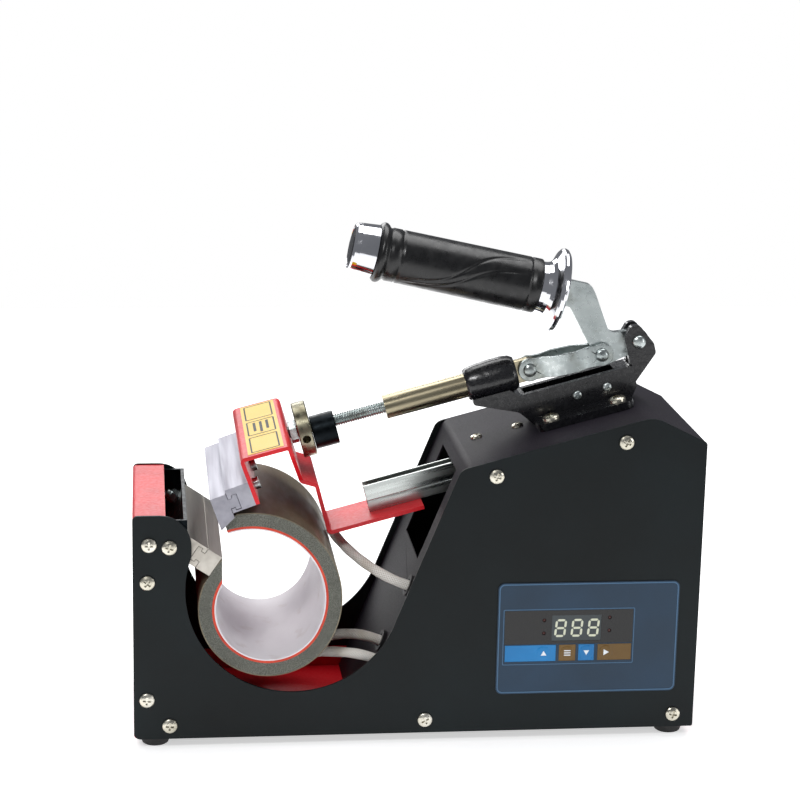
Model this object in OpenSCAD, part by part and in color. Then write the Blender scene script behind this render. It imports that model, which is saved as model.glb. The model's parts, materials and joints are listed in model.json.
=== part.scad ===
// Mug heat press: a sheet-metal body with a round cradle, a wrap-round heater held between
// two clamp bars, and an over-centre push-pull clamp that slides the carriage to close it.
// X runs along the body, Y across it and Z up. The origin is the bottom centre of the body
// on the surface that its feet stand on. Lengths are in millimetres, angles in degrees.

/* [Body] */
// Length of the body
body_len = 430; // [425:1:560]
// Depth over the two side plates
body_depth = 147; // [120:1:190]
// Thickness of the side plates
plate_t = 2; // [1.5:0.5:3]
// Height of the column that holds the fixed clamp bar
column_h = 175.5; // [174:0.5:200]
// Width of the flat top of the column
column_flat = 20; // [16:1:24]
// Radius of the rounded shoulder beside it
column_round = 23.5; // [20:0.5:24]
// Height of the sloping top at its low end
slope_z = 208; // [206:1:240]
// Distance of that low end from the body's left end
slope_x = 243.7; // [240:0.1:260]
// Rise of the sloping top
slope_angle = 15.1; // [13:0.1:17]
// Distance from the right end back to the top of the slope
kink_back = 41; // [30:1:60]
// Fall of the short top beyond it
drop_angle = 26.15; // [15:0.05:40]
// Lean of the housing's left wall from the vertical
wall_lean = 21.65; // [18:0.05:24]
// How far that wall stands inside the edges of the side plates
wall_recess = 5.5; // [3:0.5:8]
// Height of the rubber feet
foot_h = 8; // [4:0.5:15]
// Diameter of the rubber feet
foot_d = 24; // [18:1:30]
// Distance of each foot's centre from the body's ends
foot_inset = 16; // [14:1:40]

/* [Sheet metal] */
// Thickness of the base pan
pan_t = 2; // [1:0.5:3]
// Thickness of the top cover
cover_t = 1.5; // [1:0.5:2.5]
// Thickness of the carriage bracket
bracket_t = 3; // [2:0.5:4]
// Width of the red flange on the column
pan_top_w = 24.5; // [20:0.5:27]

/* [Heater] */
// Radius inside the heater at its round part
mug_r = 40; // [38:0.5:50]
// Extra radius of the heater's open half
open_extra = 15.2; // [8:0.1:18]
// Thickness of the inner liner
liner_t = 1.0; // [0.5:0.1:2]
// Thickness of the silicone heating mat
mat_t = 1.8; // [1:0.1:3]
// Thickness of the sponge layer
sponge_t = 9.6; // [5:0.1:12]
// Thickness of the steel jacket
jacket_t = 0.8; // [0.5:0.1:1.5]
// Gap left at each end between the heater and the side plates' outer faces
heater_inset = 3.5; // [3:0.5:8]
// Diameter of the sleeved heater leads
lead_d = 8; // [5:0.5:9]

/* [Clamp bars] */
// Width of the end bar that grips the heater
end_bar_w = 12.5; // [10:0.5:14]
// Width of the rail bar on the carriage
rail_bar_w = 17.9; // [15:0.1:22]
// Width of the rail bar on the column
fixed_rail_w = 18.5; // [16:0.1:22]
// Height of the end bars
bar_h = 17.5; // [16:0.5:20]
// Side clearance of the T joint between the bars
joint_gap = 0.15; // [0.1:0.05:0.3]

/* [Push-pull clamp] */
// Height of the plunger's axis over the slope
axis_h = 42.6; // [40:0.1:46]
// Diameter of the plunger
plunger_d = 18.8; // [16:0.1:20]
// Diameter of the cast barrel
barrel_d = 28; // [26:0.5:32]
// Distance from the handle's pivot to the lever's link rivet
crank_r = 29.8; // [27:0.1:31]
// Length of the links between their rivets
link_len = 57.2; // [55:0.1:60]
// Angle by which the closed clamp stands past its dead centre
over_centre = 6.2; // [3:0.1:8]
// Thickness of the lever plate
lever_t = 8; // [6:0.5:9]
// Thickness of each link plate
link_t = 3; // [2:0.5:4]
// Radial running clearance of pins and of the plunger
run_gap = 0.05; // [0.02:0.01:0.1]

/* [Handle] */
// Length of the rubber grip
grip_len = 119; // [100:1:135]
// Diameter of the rubber grip
grip_d = 42; // [36:0.5:46]
// Diameter of the tube inside the grip
tube_d = 25.4; // [24:0.1:28]
// Diameter of the polished flange below the grip
flange_d = 65; // [54:1:70]

/* [Pressure adjuster] */
// Diameter of the threaded rod
rod_d = 10; // [8:0.5:12]
// Diameter of the adjusting disc
disc_d = 43; // [36:1:46]
// Thickness of the adjusting disc
disc_t = 10.8; // [8:0.1:11]
// Diameter of the black collar
collar_d = 26; // [22:0.5:28]

/* [Slide rail] */
// Height of the slide rail
rail_h = 21.5; // [18:0.5:24]
// Width of the slide rail
rail_w = 15; // [12:0.5:18]
// Length of the slide rail
rail_len = 134; // [120:1:150]

/* [Control panel] */
// Width of the panel overlay
panel_w = 140; // [130:1:150]
// Height of the panel overlay
panel_h = 89; // [84:1:100]
// Thickness of the panel overlay
panel_t = 0.8; // [0.5:0.1:1.2]
// Distance from the panel to the body's right end
panel_back = 15.7; // [12:0.1:30]
// Height of the panel's lower edge over the body's lower edge
panel_z = 30; // [24:1:40]

/* [Hidden] */
$fn = 64;

inner_w = body_depth - 2 * plate_t;
heater_len = body_depth - 2 * heater_inset;
hat_w = body_depth + 3;
kink_x = body_len - kink_back;
kink_z = slope_z + (kink_x - slope_x) * tan(slope_angle);
right_z = kink_z - kink_back * tan(drop_angle);
plate_y = (body_depth - plate_t) / 2;

// Heater: the round part is centred on round_c, the open half on open_c.
pad_t = liner_t + mat_t + sponge_t + jacket_t;
open_r = mug_r + open_extra;
join_angle = -28;
open_end = 108.5;
end_cut = 35.2;
// The held half is drawn from this angle and trimmed by a cut that begins and stops at these heights
held_start = 125;
cut_low = 10;
cut_high = 8;
seat_angle = 107.3;
seat_press = 1.8;

// Carriage, in the slope's frame: x runs up the slope and z stands off it.
leg_tilt = 5;
leg_foot = [-153.8, 16.2];
hat_h = 53.2;
hat_right = -117.7;
leg2_s = -105.3;
step_z = [15.3, 9];
step_y = 41;
flange_y = 26;
flange_h = -34;
flange_end = -31.5;
bar_drop = 15.5;
bar_rise = 3;
moving_bar_h = bar_h + 1.8;
lip_drop = 6;

// Body places that the cradle follows.
function slope_pt(s, h) = [slope_x + s * cos(slope_angle) - h * sin(slope_angle),
  slope_z + s * sin(slope_angle) + h * cos(slope_angle)];
bar_tilt = slope_angle + leg_tilt;
bar_u = end_bar_w + 0.2 + rail_bar_w;
bar_corner = slope_pt(leg_foot[0] - bar_u * cos(leg_tilt) - bar_drop * sin(leg_tilt),
  leg_foot[1] - bar_u * sin(leg_tilt) + bar_drop * cos(leg_tilt));
seat_pt = bar_corner + moving_bar_h * [sin(bar_tilt), -cos(bar_tilt)]
  + 5 * [cos(bar_tilt), sin(bar_tilt)];
open_c = seat_pt - (open_r + pad_t - seat_press) * [cos(seat_angle), sin(seat_angle)];
round_c = open_c + open_extra * [cos(join_angle), sin(join_angle)];
cradle_c = round_c + [18.6, 16.1];
cradle_r = mug_r + 41.3;
fixed_tilt = 34;
fixed_seat = mug_r + pad_t - 1.05;
fixed_along = 14.6;
fixed_corner = round_c + fixed_seat * [-cos(fixed_tilt), sin(fixed_tilt)]
  + fixed_along * [sin(fixed_tilt), cos(fixed_tilt)];
fixed_u = end_bar_w + 0.2 + fixed_rail_w;

// Clamp pivots in the slope's frame.
plunger_q = 74.6;
rivet_l = [plunger_q + link_len * cos(asin(crank_r * sin(over_centre) / link_len)),
  axis_h - crank_r * sin(over_centre)];
pivot_s = rivet_l[0] + crank_r * cos(over_centre);
pivot_pt = [pivot_s, axis_h];
plunger_left = -40.7;

// Handle: the grip's axis starts at grip_base and leans back over the carriage.
grip_base = pivot_pt + [-65.3, 61.2];
grip_angle = 152.8;
link_in = lever_t / 2 + 0.3;
link_jog = plunger_d / 2 + 0.4;
ear_gap = lever_t / 2 + 0.4;
ear_t = 6;
spine_w = 26;
spine_h = 26.4;

// Cover wall behind the window.
wall_top = slope_pt(wall_recess / sin(90 - wall_lean + slope_angle), 0);
floor_z = 2.8;
wall_foot = wall_top - (wall_top[1] - floor_z) / cos(wall_lean) * [sin(wall_lean), cos(wall_lean)];
pan_flange_z = 18;
window_w = 74;
window_d = [12, 88];

// Screws in each side plate, as x and z from the plate's lower left corner.
screw_head_d = 11.3;
screw_head_h = 3;
screw_d = 4;
low_z = 10.6;
side_screw_pts = [[12.2, 153.1], [27.2, 151], [10.8, 124], [9.9, 31.5], [26.9, low_z],
  [220.6, low_z], [body_len - 16.2, low_z], slope_pt(24.5, -12), slope_pt(125.2, -13)];

// Control panel, from its lower left corner.
panel_x = body_len - panel_back - panel_w;
window_box = [5.7, 40, 99, 26.8];
digits_box = [42, 42.2, 38.3, 20.6];
button_row = [26, 13.2];
button_x = [[6.2, 39.6], [48, 13.1], [63.1, 12.4], [78, 26.3]];
dome_x = [36.2, 54.5, 69.3, 84.5];
dome_d = 11;
button_gap = 0.15;
board_y = 9;

// ---- helpers ----
function unit(v) = v / norm(v);
function left_of(v) = [-v[1], v[0]];
function edge_side(p, i) = left_of(unit(p[i + 1] - p[i]));
function mitre(p, i, t) = i == 0 ? p[0] + t * edge_side(p, 0)
  : i == len(p) - 1 ? p[i] + t * edge_side(p, i - 1)
  : p[i] + t * (edge_side(p, i - 1) + edge_side(p, i)) / (1 + edge_side(p, i - 1) * edge_side(p, i));
// A folded sheet of thickness t drawn from one face; a positive t lies to the left.
module strip(p, t) {
  polygon(concat(p, [for (i = [len(p) - 1:-1:0]) mitre(p, i, t)]));
}
function turn(a) = (a + 540) % 360 - 180;
// Points of an arc of radius r that rounds the corner b between a and c.
function corner(a, b, c, r, n = 6) = let (u = unit(a - b), v = unit(c - b), half = acos(u * v) / 2,
  o = b + unit(u + v) * r / sin(half), s = b + u * r / tan(half) - o, e = b + v * r / tan(half) - o,
  a0 = atan2(s[1], s[0]), da = turn(atan2(e[1], e[0]) - a0))
  [for (k = [0:n]) o + r * [cos(a0 + da * k / n), sin(a0 + da * k / n)]];
function bent(p, r) = [for (i = [0:len(p) - 1])
  for (q = i == 0 || i == len(p) - 1 || r[i] == 0 ? [p[i]] : corner(p[i - 1], p[i], p[i + 1], r[i])) q];
function closed(p, r, steps = 6) = [for (i = [0:len(p) - 1]) let (n = len(p))
  for (q = r[i] == 0 ? [p[i]] : corner(p[(i + n - 1) % n], p[i], p[(i + 1) % n], r[i], steps)) q];
// A plain rectangle from a corner, with rounded corners.
module round_box(x, z, w, h, r) {
  polygon(closed([[x, z], [x + w, z], [x + w, z + h], [x, z + h]], [r, r, r, r]));
}
// Stands an X-Z outline up and gives it a width along Y.
module slab(w) {
  rotate([90, 0, 0]) linear_extrude(w, center = true) children();
}
module body() {
  translate([-body_len / 2, 0, foot_h]) children();
}
module on_slope(s = 0, h = 0) {
  body() translate([slope_x, 0, slope_z]) rotate([0, -slope_angle, 0]) translate([s, 0, h]) children();
}
module both_sides() {
  children();
  mirror([0, 1, 0]) children();
}
// A rod along X.
module rod_x(x0, x1, d) {
  translate([x0, 0, 0]) rotate([0, 90, 0]) cylinder(h = x1 - x0, d = d);
}
// A rod along Y, centred.
module rod_y(w, d) {
  rotate([90, 0, 0]) cylinder(h = w, d = d, center = true);
}
// A domed cross-head screw, its shank along -Z and its head's seat on Z = 0.
module cross_screw(head_d, head_h, shank_d, shank) {
  difference() {
    rotate_extrude() polygon(concat([[0, -shank], [shank_d / 2, -shank], [shank_d / 2, 0], [head_d / 2, 0]],
      [for (k = [1:6]) [head_d / 2 * cos(15 * k), head_h * (0.3 + 0.7 * sin(15 * k))]]));
    for (a = [0, 90]) rotate([0, 0, a]) translate([-head_d * 0.27, -head_d * 0.065, head_h * 0.3])
      cube([head_d * 0.54, head_d * 0.13, head_h]);
  }
}

// ---- body shell ----
module side_outline() {
  difference() {
    union() {
      polygon(closed([[0, 0], [body_len, 0], [body_len, right_z], [kink_x, kink_z],
        [slope_x, slope_z], slope_pt(0, 0) - 125 * [sin(wall_lean), cos(wall_lean)],
        [cradle_c[0], cradle_c[1]], [40, 138], [0, 138]],
        [5, 1.5, 3, 22, 10, 0, 0, 0, 0]));
      polygon(closed([[0, 100], [column_flat + column_round, 100], [column_flat + column_round, column_h],
        [0, column_h]], [0, 0, column_round, 4], 12));
    }
    translate(cradle_c) circle(r = cradle_r, $fn = 128);
  }
}
module side_plate_holes() {
  for (p = side_screw_pts) translate(p) circle(d = screw_d + 0.4, $fn = 24);
}
module side_plate() {
  slab(plate_t) difference() {
    side_outline();
    side_plate_holes();
  }
}
module front_side_plate() {
  color("#13201f") body() translate([0, -plate_y, 0]) difference() {
    side_plate();
    translate([panel_x, 0, panel_z]) slab(plate_t + 2) {
      translate([window_box[0] + 1, window_box[1] + 1]) square([window_box[2] - 2, window_box[3] - 2]);
      translate([button_x[0][0] - 1, button_row[0] - 1])
        square([button_x[3][0] + button_x[3][1] - button_x[0][0] + 2, button_row[1] + 2]);
    }
  }
}
// Power entry in the rear plate, as x and z of their centres.
inlet_pt = [body_len - 40, 40];
switch_pt = [body_len - 40, 78];
module rear_side_plate() {
  color("#13201f") body() translate([0, plate_y, 0]) difference() {
    side_plate();
    translate([inlet_pt[0], 0, inlet_pt[1]]) cube([27.6, 9, 20.2], center = true);
    translate([switch_pt[0], 0, switch_pt[1]]) cube([27.6, 9, 12.4], center = true);
  }
}
module base_pan() {
  top = column_h - 0.9;
  right = body_len - cover_t;
  color("#e01428") body() difference() {
    union() {
      slab(inner_w) strip(bent([[pan_top_w, top], [0, top], [0, 0], [right, 0], [right, 16]],
        [0, 3, 3, 3, 0]), pan_t);
      both_sides() translate([0, (inner_w - pan_t) / 2, 0]) slab(pan_t) {
        translate([pan_t, pan_t]) square([right - 2 * pan_t, pan_flange_z - pan_t]);
        translate([pan_t, pan_t]) square([16, top - 12]);
      }
    }
    both_sides() for (k = [0, 2, 3, 4, 5, 6]) let (p = side_screw_pts[k])
      translate([p[0], inner_w / 2, p[1]]) rod_y(3 * pan_t, screw_d + 0.1);
    for (x = [foot_inset, body_len - foot_inset]) both_sides()
      translate([x, inner_w / 2 - foot_inset + 2, -1]) cylinder(h = 5, d = 5.4);
  }
}
module top_cover() {
  outline = bent([wall_foot, wall_top, [kink_x, kink_z], [body_len, right_z], [body_len, floor_z]],
    [0, 9, 22, 4, 0]);
  color("#2f2a34") body() difference() {
    union() {
      slab(inner_w) strip(outline, -cover_t);
      both_sides() translate([0, (inner_w - cover_t) / 2, 0]) slab(cover_t)
        polygon([slope_pt(16, -1), slope_pt(138, -1), slope_pt(138, -20), slope_pt(16, -20)]);
    }
    translate([wall_top[0], 0, wall_top[1]]) rotate([0, wall_lean, 0])
      translate([-4, -window_w / 2, -window_d[1]]) cube([12, window_w, window_d[1] - window_d[0]]);
    both_sides() for (k = [7, 8]) let (p = side_screw_pts[k])
      translate([p[0], inner_w / 2, p[1]]) rod_y(3 * cover_t, screw_d + 0.1);
    cover_holes();
    both_sides() translate([wall_foot[0] - 4, inner_w / 2 - pan_t - 0.2, 0]) cube([24, 5, pan_flange_z + 0.2]);
    for (p = lead_exits) translate([p[0], p[1], p[2]]) rotate([0, wall_lean - 90, 0])
      cylinder(h = 16, d = lead_d + 5, center = true);
  }
}
// Holes in the cover for the rail guide's and the clamp's screws.
guide_screw_s = [22.5, 55.6];
clamp_bolt_s = [79.7, 132.7];
clamp_bolt_y = 25;
module cover_holes() {
  translate([slope_x, 0, slope_z]) rotate([0, -slope_angle, 0]) {
    for (s = guide_screw_s) translate([s, 0, -5]) cylinder(h = 10, d = 5.4, $fn = 24);
    both_sides() for (s = clamp_bolt_s) translate([s, clamp_bolt_y, -5]) cylinder(h = 10, d = 6.4, $fn = 24);
  }
}
module side_screws() {
  color("#d8d2c0") body() both_sides() for (p = side_screw_pts)
    translate([p[0], body_depth / 2, p[1]]) rotate([-90, 0, 0])
      rotate([0, 0, 37 * p[0]]) cross_screw(screw_head_d, screw_head_h, screw_d, plate_t + 6);
}
module at_feet() {
  body() for (x = [foot_inset, body_len - foot_inset]) both_sides()
    translate([x, inner_w / 2 - foot_inset + 2, 0]) children();
}
module feet() {
  color("#141414") at_feet() rotate_extrude() polygon([[2.6, 0], [foot_d / 2, 0], [foot_d / 2, -1.5],
    [foot_d / 2 - 2, -foot_h + 0.6], [foot_d / 2 - 2.8, -foot_h], [5.5, -foot_h], [5.5, -foot_h + 3],
    [2.6, -foot_h + 3]]);
}
module foot_screws() {
  color("#c8c8c4") at_feet() {
    translate([0, 0, -foot_h + 0.4]) cylinder(h = 2.6, d = 9);
    translate([0, 0, -foot_h + 2.5]) cylinder(h = foot_h + 1.5, d = 5);
    translate([0, 0, pan_t]) difference() {
      cylinder(h = 4, d = 9.2, $fn = 6);
      translate([0, 0, -1]) cylinder(h = 6, d = 5);
    }
  }
}

// ---- fixed clamp bar on the column ----
// Outline of the end bar: x runs towards its rail bar, z is 0 at its top.
neck_z = [-12, -4.5];
head_z = [-14, -2.2];
module end_bar_outline(h, lip) {
  polygon([[0, 0], [0, -h - lip], [end_bar_w, -h], [end_bar_w, 0]]);
  translate([end_bar_w - 1, neck_z[0]]) square([4.5, neck_z[1] - neck_z[0]]);
  translate([end_bar_w + 3.3, head_z[0]]) square([4, head_z[1] - head_z[0]]);
}
module rail_bar_outline(w, rise, drop) {
  g = joint_gap;
  x0 = end_bar_w + 0.2;
  difference() {
    translate([x0, -drop]) square([w, rise + drop]);
    translate([x0 - 1, neck_z[0] - g]) square([5, neck_z[1] - neck_z[0] + 2 * g]);
    translate([end_bar_w + 3.3 - g, head_z[0] - g]) square([4 + 2 * g, head_z[1] - head_z[0] + 2 * g]);
  }
}
module at_fixed_bar() {
  body() translate([fixed_corner[0], 0, fixed_corner[1]]) rotate([0, fixed_tilt, 0]) mirror([1, 0, 0]) children();
}
function fixed_pt(u, z) = fixed_corner + u * [-cos(fixed_tilt), sin(fixed_tilt)]
  + z * [sin(fixed_tilt), cos(fixed_tilt)];
fixed_bolt_z = -bar_h / 2;
fixed_bolt_in = fixed_rail_w - 8;
module fixed_rail_bar() {
  color("#8c8478") difference() {
    at_fixed_bar() slab(heater_len) rail_bar_outline(fixed_rail_w, 0, bar_h);
    at_fixed_bolts() translate([0, 0, -0.5]) cylinder(h = 20, d = 6, $fn = 24);
  }
}
module fixed_end_bar() {
  color("#968f84") at_fixed_bar() slab(heater_len) end_bar_outline(bar_h, 0);
}
module at_fixed_bolts() {
  at_fixed_bar() for (y = [-1, 1]) translate([fixed_u - fixed_bolt_in, y * heater_len * 0.36, fixed_bolt_z])
    rotate([0, 90, 0]) children();
}
module fixed_bar_bolts() {
  color("#c9c9c2") at_fixed_bolts() {
    cylinder(h = fixed_bolt_in + bracket_t + 8, d = 5.8, $fn = 32);
    translate([0, 0, fixed_bolt_in + bracket_t + 0.1]) difference() {
      cylinder(h = 4.7, d = 10 / cos(30), $fn = 6);
      translate([0, 0, -1]) cylinder(h = 7, d = 5.8, $fn = 32);
    }
  }
}
module column_bracket() {
  top = [fixed_pt(fixed_u, 0)[0], column_h - 4];
  high = fixed_pt(fixed_u, 0);
  low = fixed_pt(fixed_u, -bar_h - 1);
  color("#101214") difference() {
    union() {
      body() slab(inner_w) strip([top, high, low, [low[0], low[1] - 22]], -bracket_t);
      body() both_sides() translate([0, (inner_w - bracket_t) / 2, 0]) slab(bracket_t)
        polygon([[20, column_h - 4], top - [1, 0], high - [1, 0], low - [1, 0], [low[0] - 1, low[1] - 22],
          [20, low[1] - 22]]);
    }
    body() both_sides() translate([side_screw_pts[1][0], inner_w / 2, side_screw_pts[1][1]])
      rod_y(3 * bracket_t, screw_d + 0.1);
    at_fixed_bolts() translate([0, 0, -1]) cylinder(h = 30, d = 6, $fn = 24);
  }
}

// ---- heater ----
// A sector of a ring between two angles.
module sector(r, t, a0, a1) {
  span = 2 * (r + t);
  n = ceil((a1 - a0) / 60);
  difference() {
    circle(r = r + t, $fn = 128);
    circle(r = r, $fn = 128);
    polygon(concat([[0, 0]], [for (k = [0:n + 3]) let (a = a1 + (360 - a1 + a0) * k / (n + 3))
      span * [cos(a), sin(a)]]));
  }
}
module heater_outline(inset, t) {
  difference() {
    union() {
      translate(round_c) sector(mug_r + inset, t, held_start, 360 + join_angle);
      translate(open_c) sector(open_r + inset, t, join_angle, open_end);
    }
    translate(fixed_corner) rotate(-fixed_tilt) translate([-20 + 0.1, -bar_h - 6]) square([20, bar_h + 12]);
    translate(round_c + [-end_cut, cut_low]) square([end_cut, mug_r + pad_t - cut_low - cut_high]);
    translate(bar_corner) rotate(bar_tilt) bar_clearance();
  }
}
// Room that the moving end bar takes out of the sponge, widened past both its sides.
module bar_clearance() {
  rise = lip_drop / end_bar_w;
  low = -moving_bar_h - lip_drop - 0.1;
  polygon([[-8, low - 8 * rise], [end_bar_w + 8, low + (end_bar_w + 8) * rise], [end_bar_w + 8, 0], [-8, 0]]);
}
module heater_layer(inset, t, w) {
  body() slab(w) heater_outline(inset, t);
}
module heater_liner() {
  color("#dcd0da") heater_layer(0, liner_t, heater_len);
}
module heater_mat() {
  color("#d9422b") heater_layer(liner_t, mat_t, heater_len);
}
module heater_sponge() {
  color("#6f6f68") heater_layer(liner_t + mat_t, sponge_t, heater_len);
}
module heater_jacket() {
  color("#6b6045") heater_layer(liner_t + mat_t + sponge_t, jacket_t, heater_len);
}

// ---- heater leads ----
wall_in = [cos(wall_lean), 0, -sin(wall_lean)];
function wall_x(z) = wall_top[0] - (wall_top[1] - z) * tan(wall_lean);
// Each lead leaves the jacket and runs through the housing's left wall.
lead_rise = [110.1, 61.9, 54];
lead_side = [-50, -38, -60];
lead_exits = [for (k = [0:2]) [wall_x(lead_rise[k]), lead_side[k], lead_rise[k]]];
lead_off = pad_t + lead_d / 2 + 0.1;
function on_ring(c, r, a, y) = [c[0] + r * cos(a), y, c[1] + r * sin(a)];
// A lead as points on a cubic curve from p along u to q along the wall's normal, then through it.
function lead_path(p, u, lead_in, q) = let (e = q - 6 * wall_in, a = p + lead_in[0] * u, b = e - lead_in[1] * wall_in)
  concat([for (k = [0:8]) let (t = k / 8, v = 1 - t)
    v * v * v * p + 3 * v * v * t * a + 3 * v * t * t * b + t * t * t * e], [q, q + 12 * wall_in]);
lead_routes = [
  lead_path(on_ring(open_c, open_r + lead_off, 25, 12), [sin(25), 0, -cos(25)], [8, 34], lead_exits[0]),
  lead_path(on_ring(round_c, mug_r + lead_off, -60, -16), [sin(60), 0, cos(60)], [12, 26], lead_exits[1]),
  lead_path(on_ring(round_c, mug_r + lead_off, -80, -20), [sin(80), 0, cos(80)], [16, 26], lead_exits[2])];
function mid_dir(p, i) = unit(p[min(i + 1, len(p) - 1)] - p[max(i - 1, 0)]);
// A tube swept along points that stay close to the X-Z plane.
module tube(p, d) {
  n = 10;
  rings = [for (i = [0:len(p) - 1]) let (t = mid_dir(p, i), b = unit(cross(t, [0, 1, 0])), c = cross(b, t))
    for (k = [0:n - 1]) p[i] + d / 2 * (cos(360 * k / n) * b + sin(360 * k / n) * c)];
  m = len(p);
  polyhedron(rings, concat([[for (k = [0:n - 1]) k]], [[for (k = [n - 1:-1:0]) (m - 1) * n + k]],
    [for (i = [0:m - 2]) for (k = [0:n - 1])
      [i * n + k, (i + 1) * n + k, (i + 1) * n + (k + 1) % n, i * n + (k + 1) % n]]));
}
module heater_leads() {
  color("#e4e2da") body() for (r = lead_routes) tube(r, lead_d);
}
module lead_grommets() {
  color("#161616") body() for (p = lead_exits) translate(p) rotate([0, wall_lean - 90, 0]) {
    difference() {
      union() {
        translate([0, 0, 0.1]) cylinder(h = 2, d = lead_d + 9);
        translate([0, 0, -cover_t - 2.2]) cylinder(h = 2, d = lead_d + 9);
        translate([0, 0, -cover_t - 1]) cylinder(h = cover_t + 2, d = lead_d + 4.8);
      }
      cylinder(h = 20, d = lead_d + 2.4, center = true);
    }
  }
}

// ---- rail guide and clamp base ----
guide_s = [14, 66];
guide_top = -cover_t - 0.1;
rail_top = flange_h + rail_h;
rail_play = 0.4;
module rail_guide() {
  w = rail_w + 2 * rail_play;
  color("#4a4d50") on_slope() difference() {
    union() {
      translate([guide_s[0], -20, guide_top - 3]) cube([guide_s[1] - guide_s[0], 40, 3]);
      translate([guide_s[0], -w / 2 - 3, flange_h - 4]) cube([guide_s[1] - guide_s[0], w + 6, guide_top - flange_h + 3]);
    }
    translate([guide_s[0] - 1, -w / 2, flange_h - rail_play])
      cube([guide_s[1] - guide_s[0] + 2, w, rail_h + 2 * rail_play]);
    translate([guide_s[0] - 1, -w / 2, rail_top + 2]) cube([guide_s[1] - guide_s[0] + 2, w, guide_top - rail_top - 5]);
    translate([guide_s[0] - 1, -4, flange_h - 6]) cube([guide_s[1] - guide_s[0] + 2, 8, 8]);
    for (s = guide_screw_s) translate([s, 0, guide_top - 4]) cylinder(h = 6, d = 5.1, $fn = 32);
  }
}
module guide_screws() {
  color("#d8d2c0") for (s = guide_screw_s) on_slope(s, 0) rotate([0, 0, 9 * s]) cross_screw(9.5, 2.6, 5, 5.4);
}
module backing_plate() {
  color("#55585a") on_slope() difference() {
    translate([69, -34, guide_top - 3]) cube([74, 68, 3]);
    both_sides() for (s = clamp_bolt_s) translate([s, clamp_bolt_y, guide_top - 4]) cylinder(h = 6, d = 6.1, $fn = 32);
  }
}
base_s = [68, 144];
base_w = 70;
base_t = 6;
set_screw_s = [105, 129];
set_screw_h = 15.3;
ear_y = ear_gap + ear_t / 2;
module clamp_base() {
  translate([0, 0, 0]) linear_extrude(base_t) polygon(closed([[base_s[0], -base_w / 2],
    [base_s[1], -base_w / 2], [base_s[1], base_w / 2], [base_s[0], base_w / 2]], [7, 7, 7, 7]));
}
module clamp_spine() {
  slab(spine_w) polygon(closed([[68, 0.5], [145, 0.5], [152, 10], [152, spine_h], [62, spine_h], [55, 33],
    [26, 33], [25, 29], [58, 14]], [0, 2, 3, 0, 3, 0, 0, 3, 10]));
}
module clamp_ear() {
  e = pivot_pt;
  slab(ear_t) polygon(closed([[e[0] - 17, 12], [e[0] - 12, 10], [e[0] + 11.2, e[1] - 12], [e[0] + 11.2, e[1] - 4],
    [e[0] + 3, e[1] + 13.4], [e[0] - 3.5, e[1] + 13.4], [e[0] - 10.4, e[1] + 6], [e[0] - 10.4, spine_h],
    [e[0] - 17, spine_h]], [0, 4, 4, 4, 5, 4, 4, 2, 0]));
}
// The cast barrel that guides the plunger, swollen towards its right end.
module clamp_barrel() {
  r = barrel_d / 2;
  translate([0, 0, axis_h]) rotate([0, 90, 0]) rotate_extrude() polygon([[0, 24], [r - 2.8, 24], [r - 1.2, 26],
    [r, 33], [r + 0.7, 44], [r + 0.8, 55], [r - 0.1, 61], [r - 2, 64], [0, 64]]);
}
module clamp_body() {
  color("#0c0c0e") on_slope() difference() {
    union() {
      clamp_base();
      clamp_spine();
      both_sides() translate([0, ear_y, 0]) clamp_ear();
      clamp_barrel();
    }
    translate([0, 0, axis_h]) rod_x(0, 90, plunger_d + 2 * run_gap);
    translate([66, -7.5, 12]) cube([72, 15, 30]);
    translate([64, -13.2, spine_h]) cube([80, 26.4, 30]);
    translate([pivot_s - 24, -ear_gap, spine_h]) cube([50, 2 * ear_gap, 40]);
    translate([pivot_s, 0, axis_h]) rod_y(60, 8);
    both_sides() for (s = clamp_bolt_s) translate([s, clamp_bolt_y, -1]) cylinder(h = 10, d = 6.4, $fn = 32);
    both_sides() for (s = set_screw_s) translate([s, spine_w / 2, set_screw_h]) rod_y(9, 4.1);
  }
}
module clamp_bolts() {
  color("#c8c8c2") on_slope() both_sides() for (s = clamp_bolt_s) translate([s, clamp_bolt_y, base_t])
    rotate([0, 0, 20 + s]) cross_screw(13.5, 4, 6, base_t + cover_t + 3.4);
}
module clamp_set_screws() {
  color("#c8c8c2") on_slope() both_sides() for (s = set_screw_s) translate([s, spine_w / 2, set_screw_h])
    rotate([-90, 0, 0]) cross_screw(7, 2.2, 4, 4);
}
pin_out = ear_gap + ear_t;
module handle_pin() {
  color("#c9ccc8") on_slope(pivot_s, axis_h) {
    rod_y(2 * pin_out + 1, 8 - 2 * run_gap);
    both_sides() translate([0, pin_out, 0]) rotate([-90, 0, 0]) rotate_extrude()
      polygon(concat([[0, 0], [5.3, 0]], [for (k = [0:6]) [5.3 * cos(15 * k), 0.8 + 2.6 * sin(15 * k)]]));
  }
}

// ---- control panel and electrics ----
front_y = -body_depth / 2;
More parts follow.
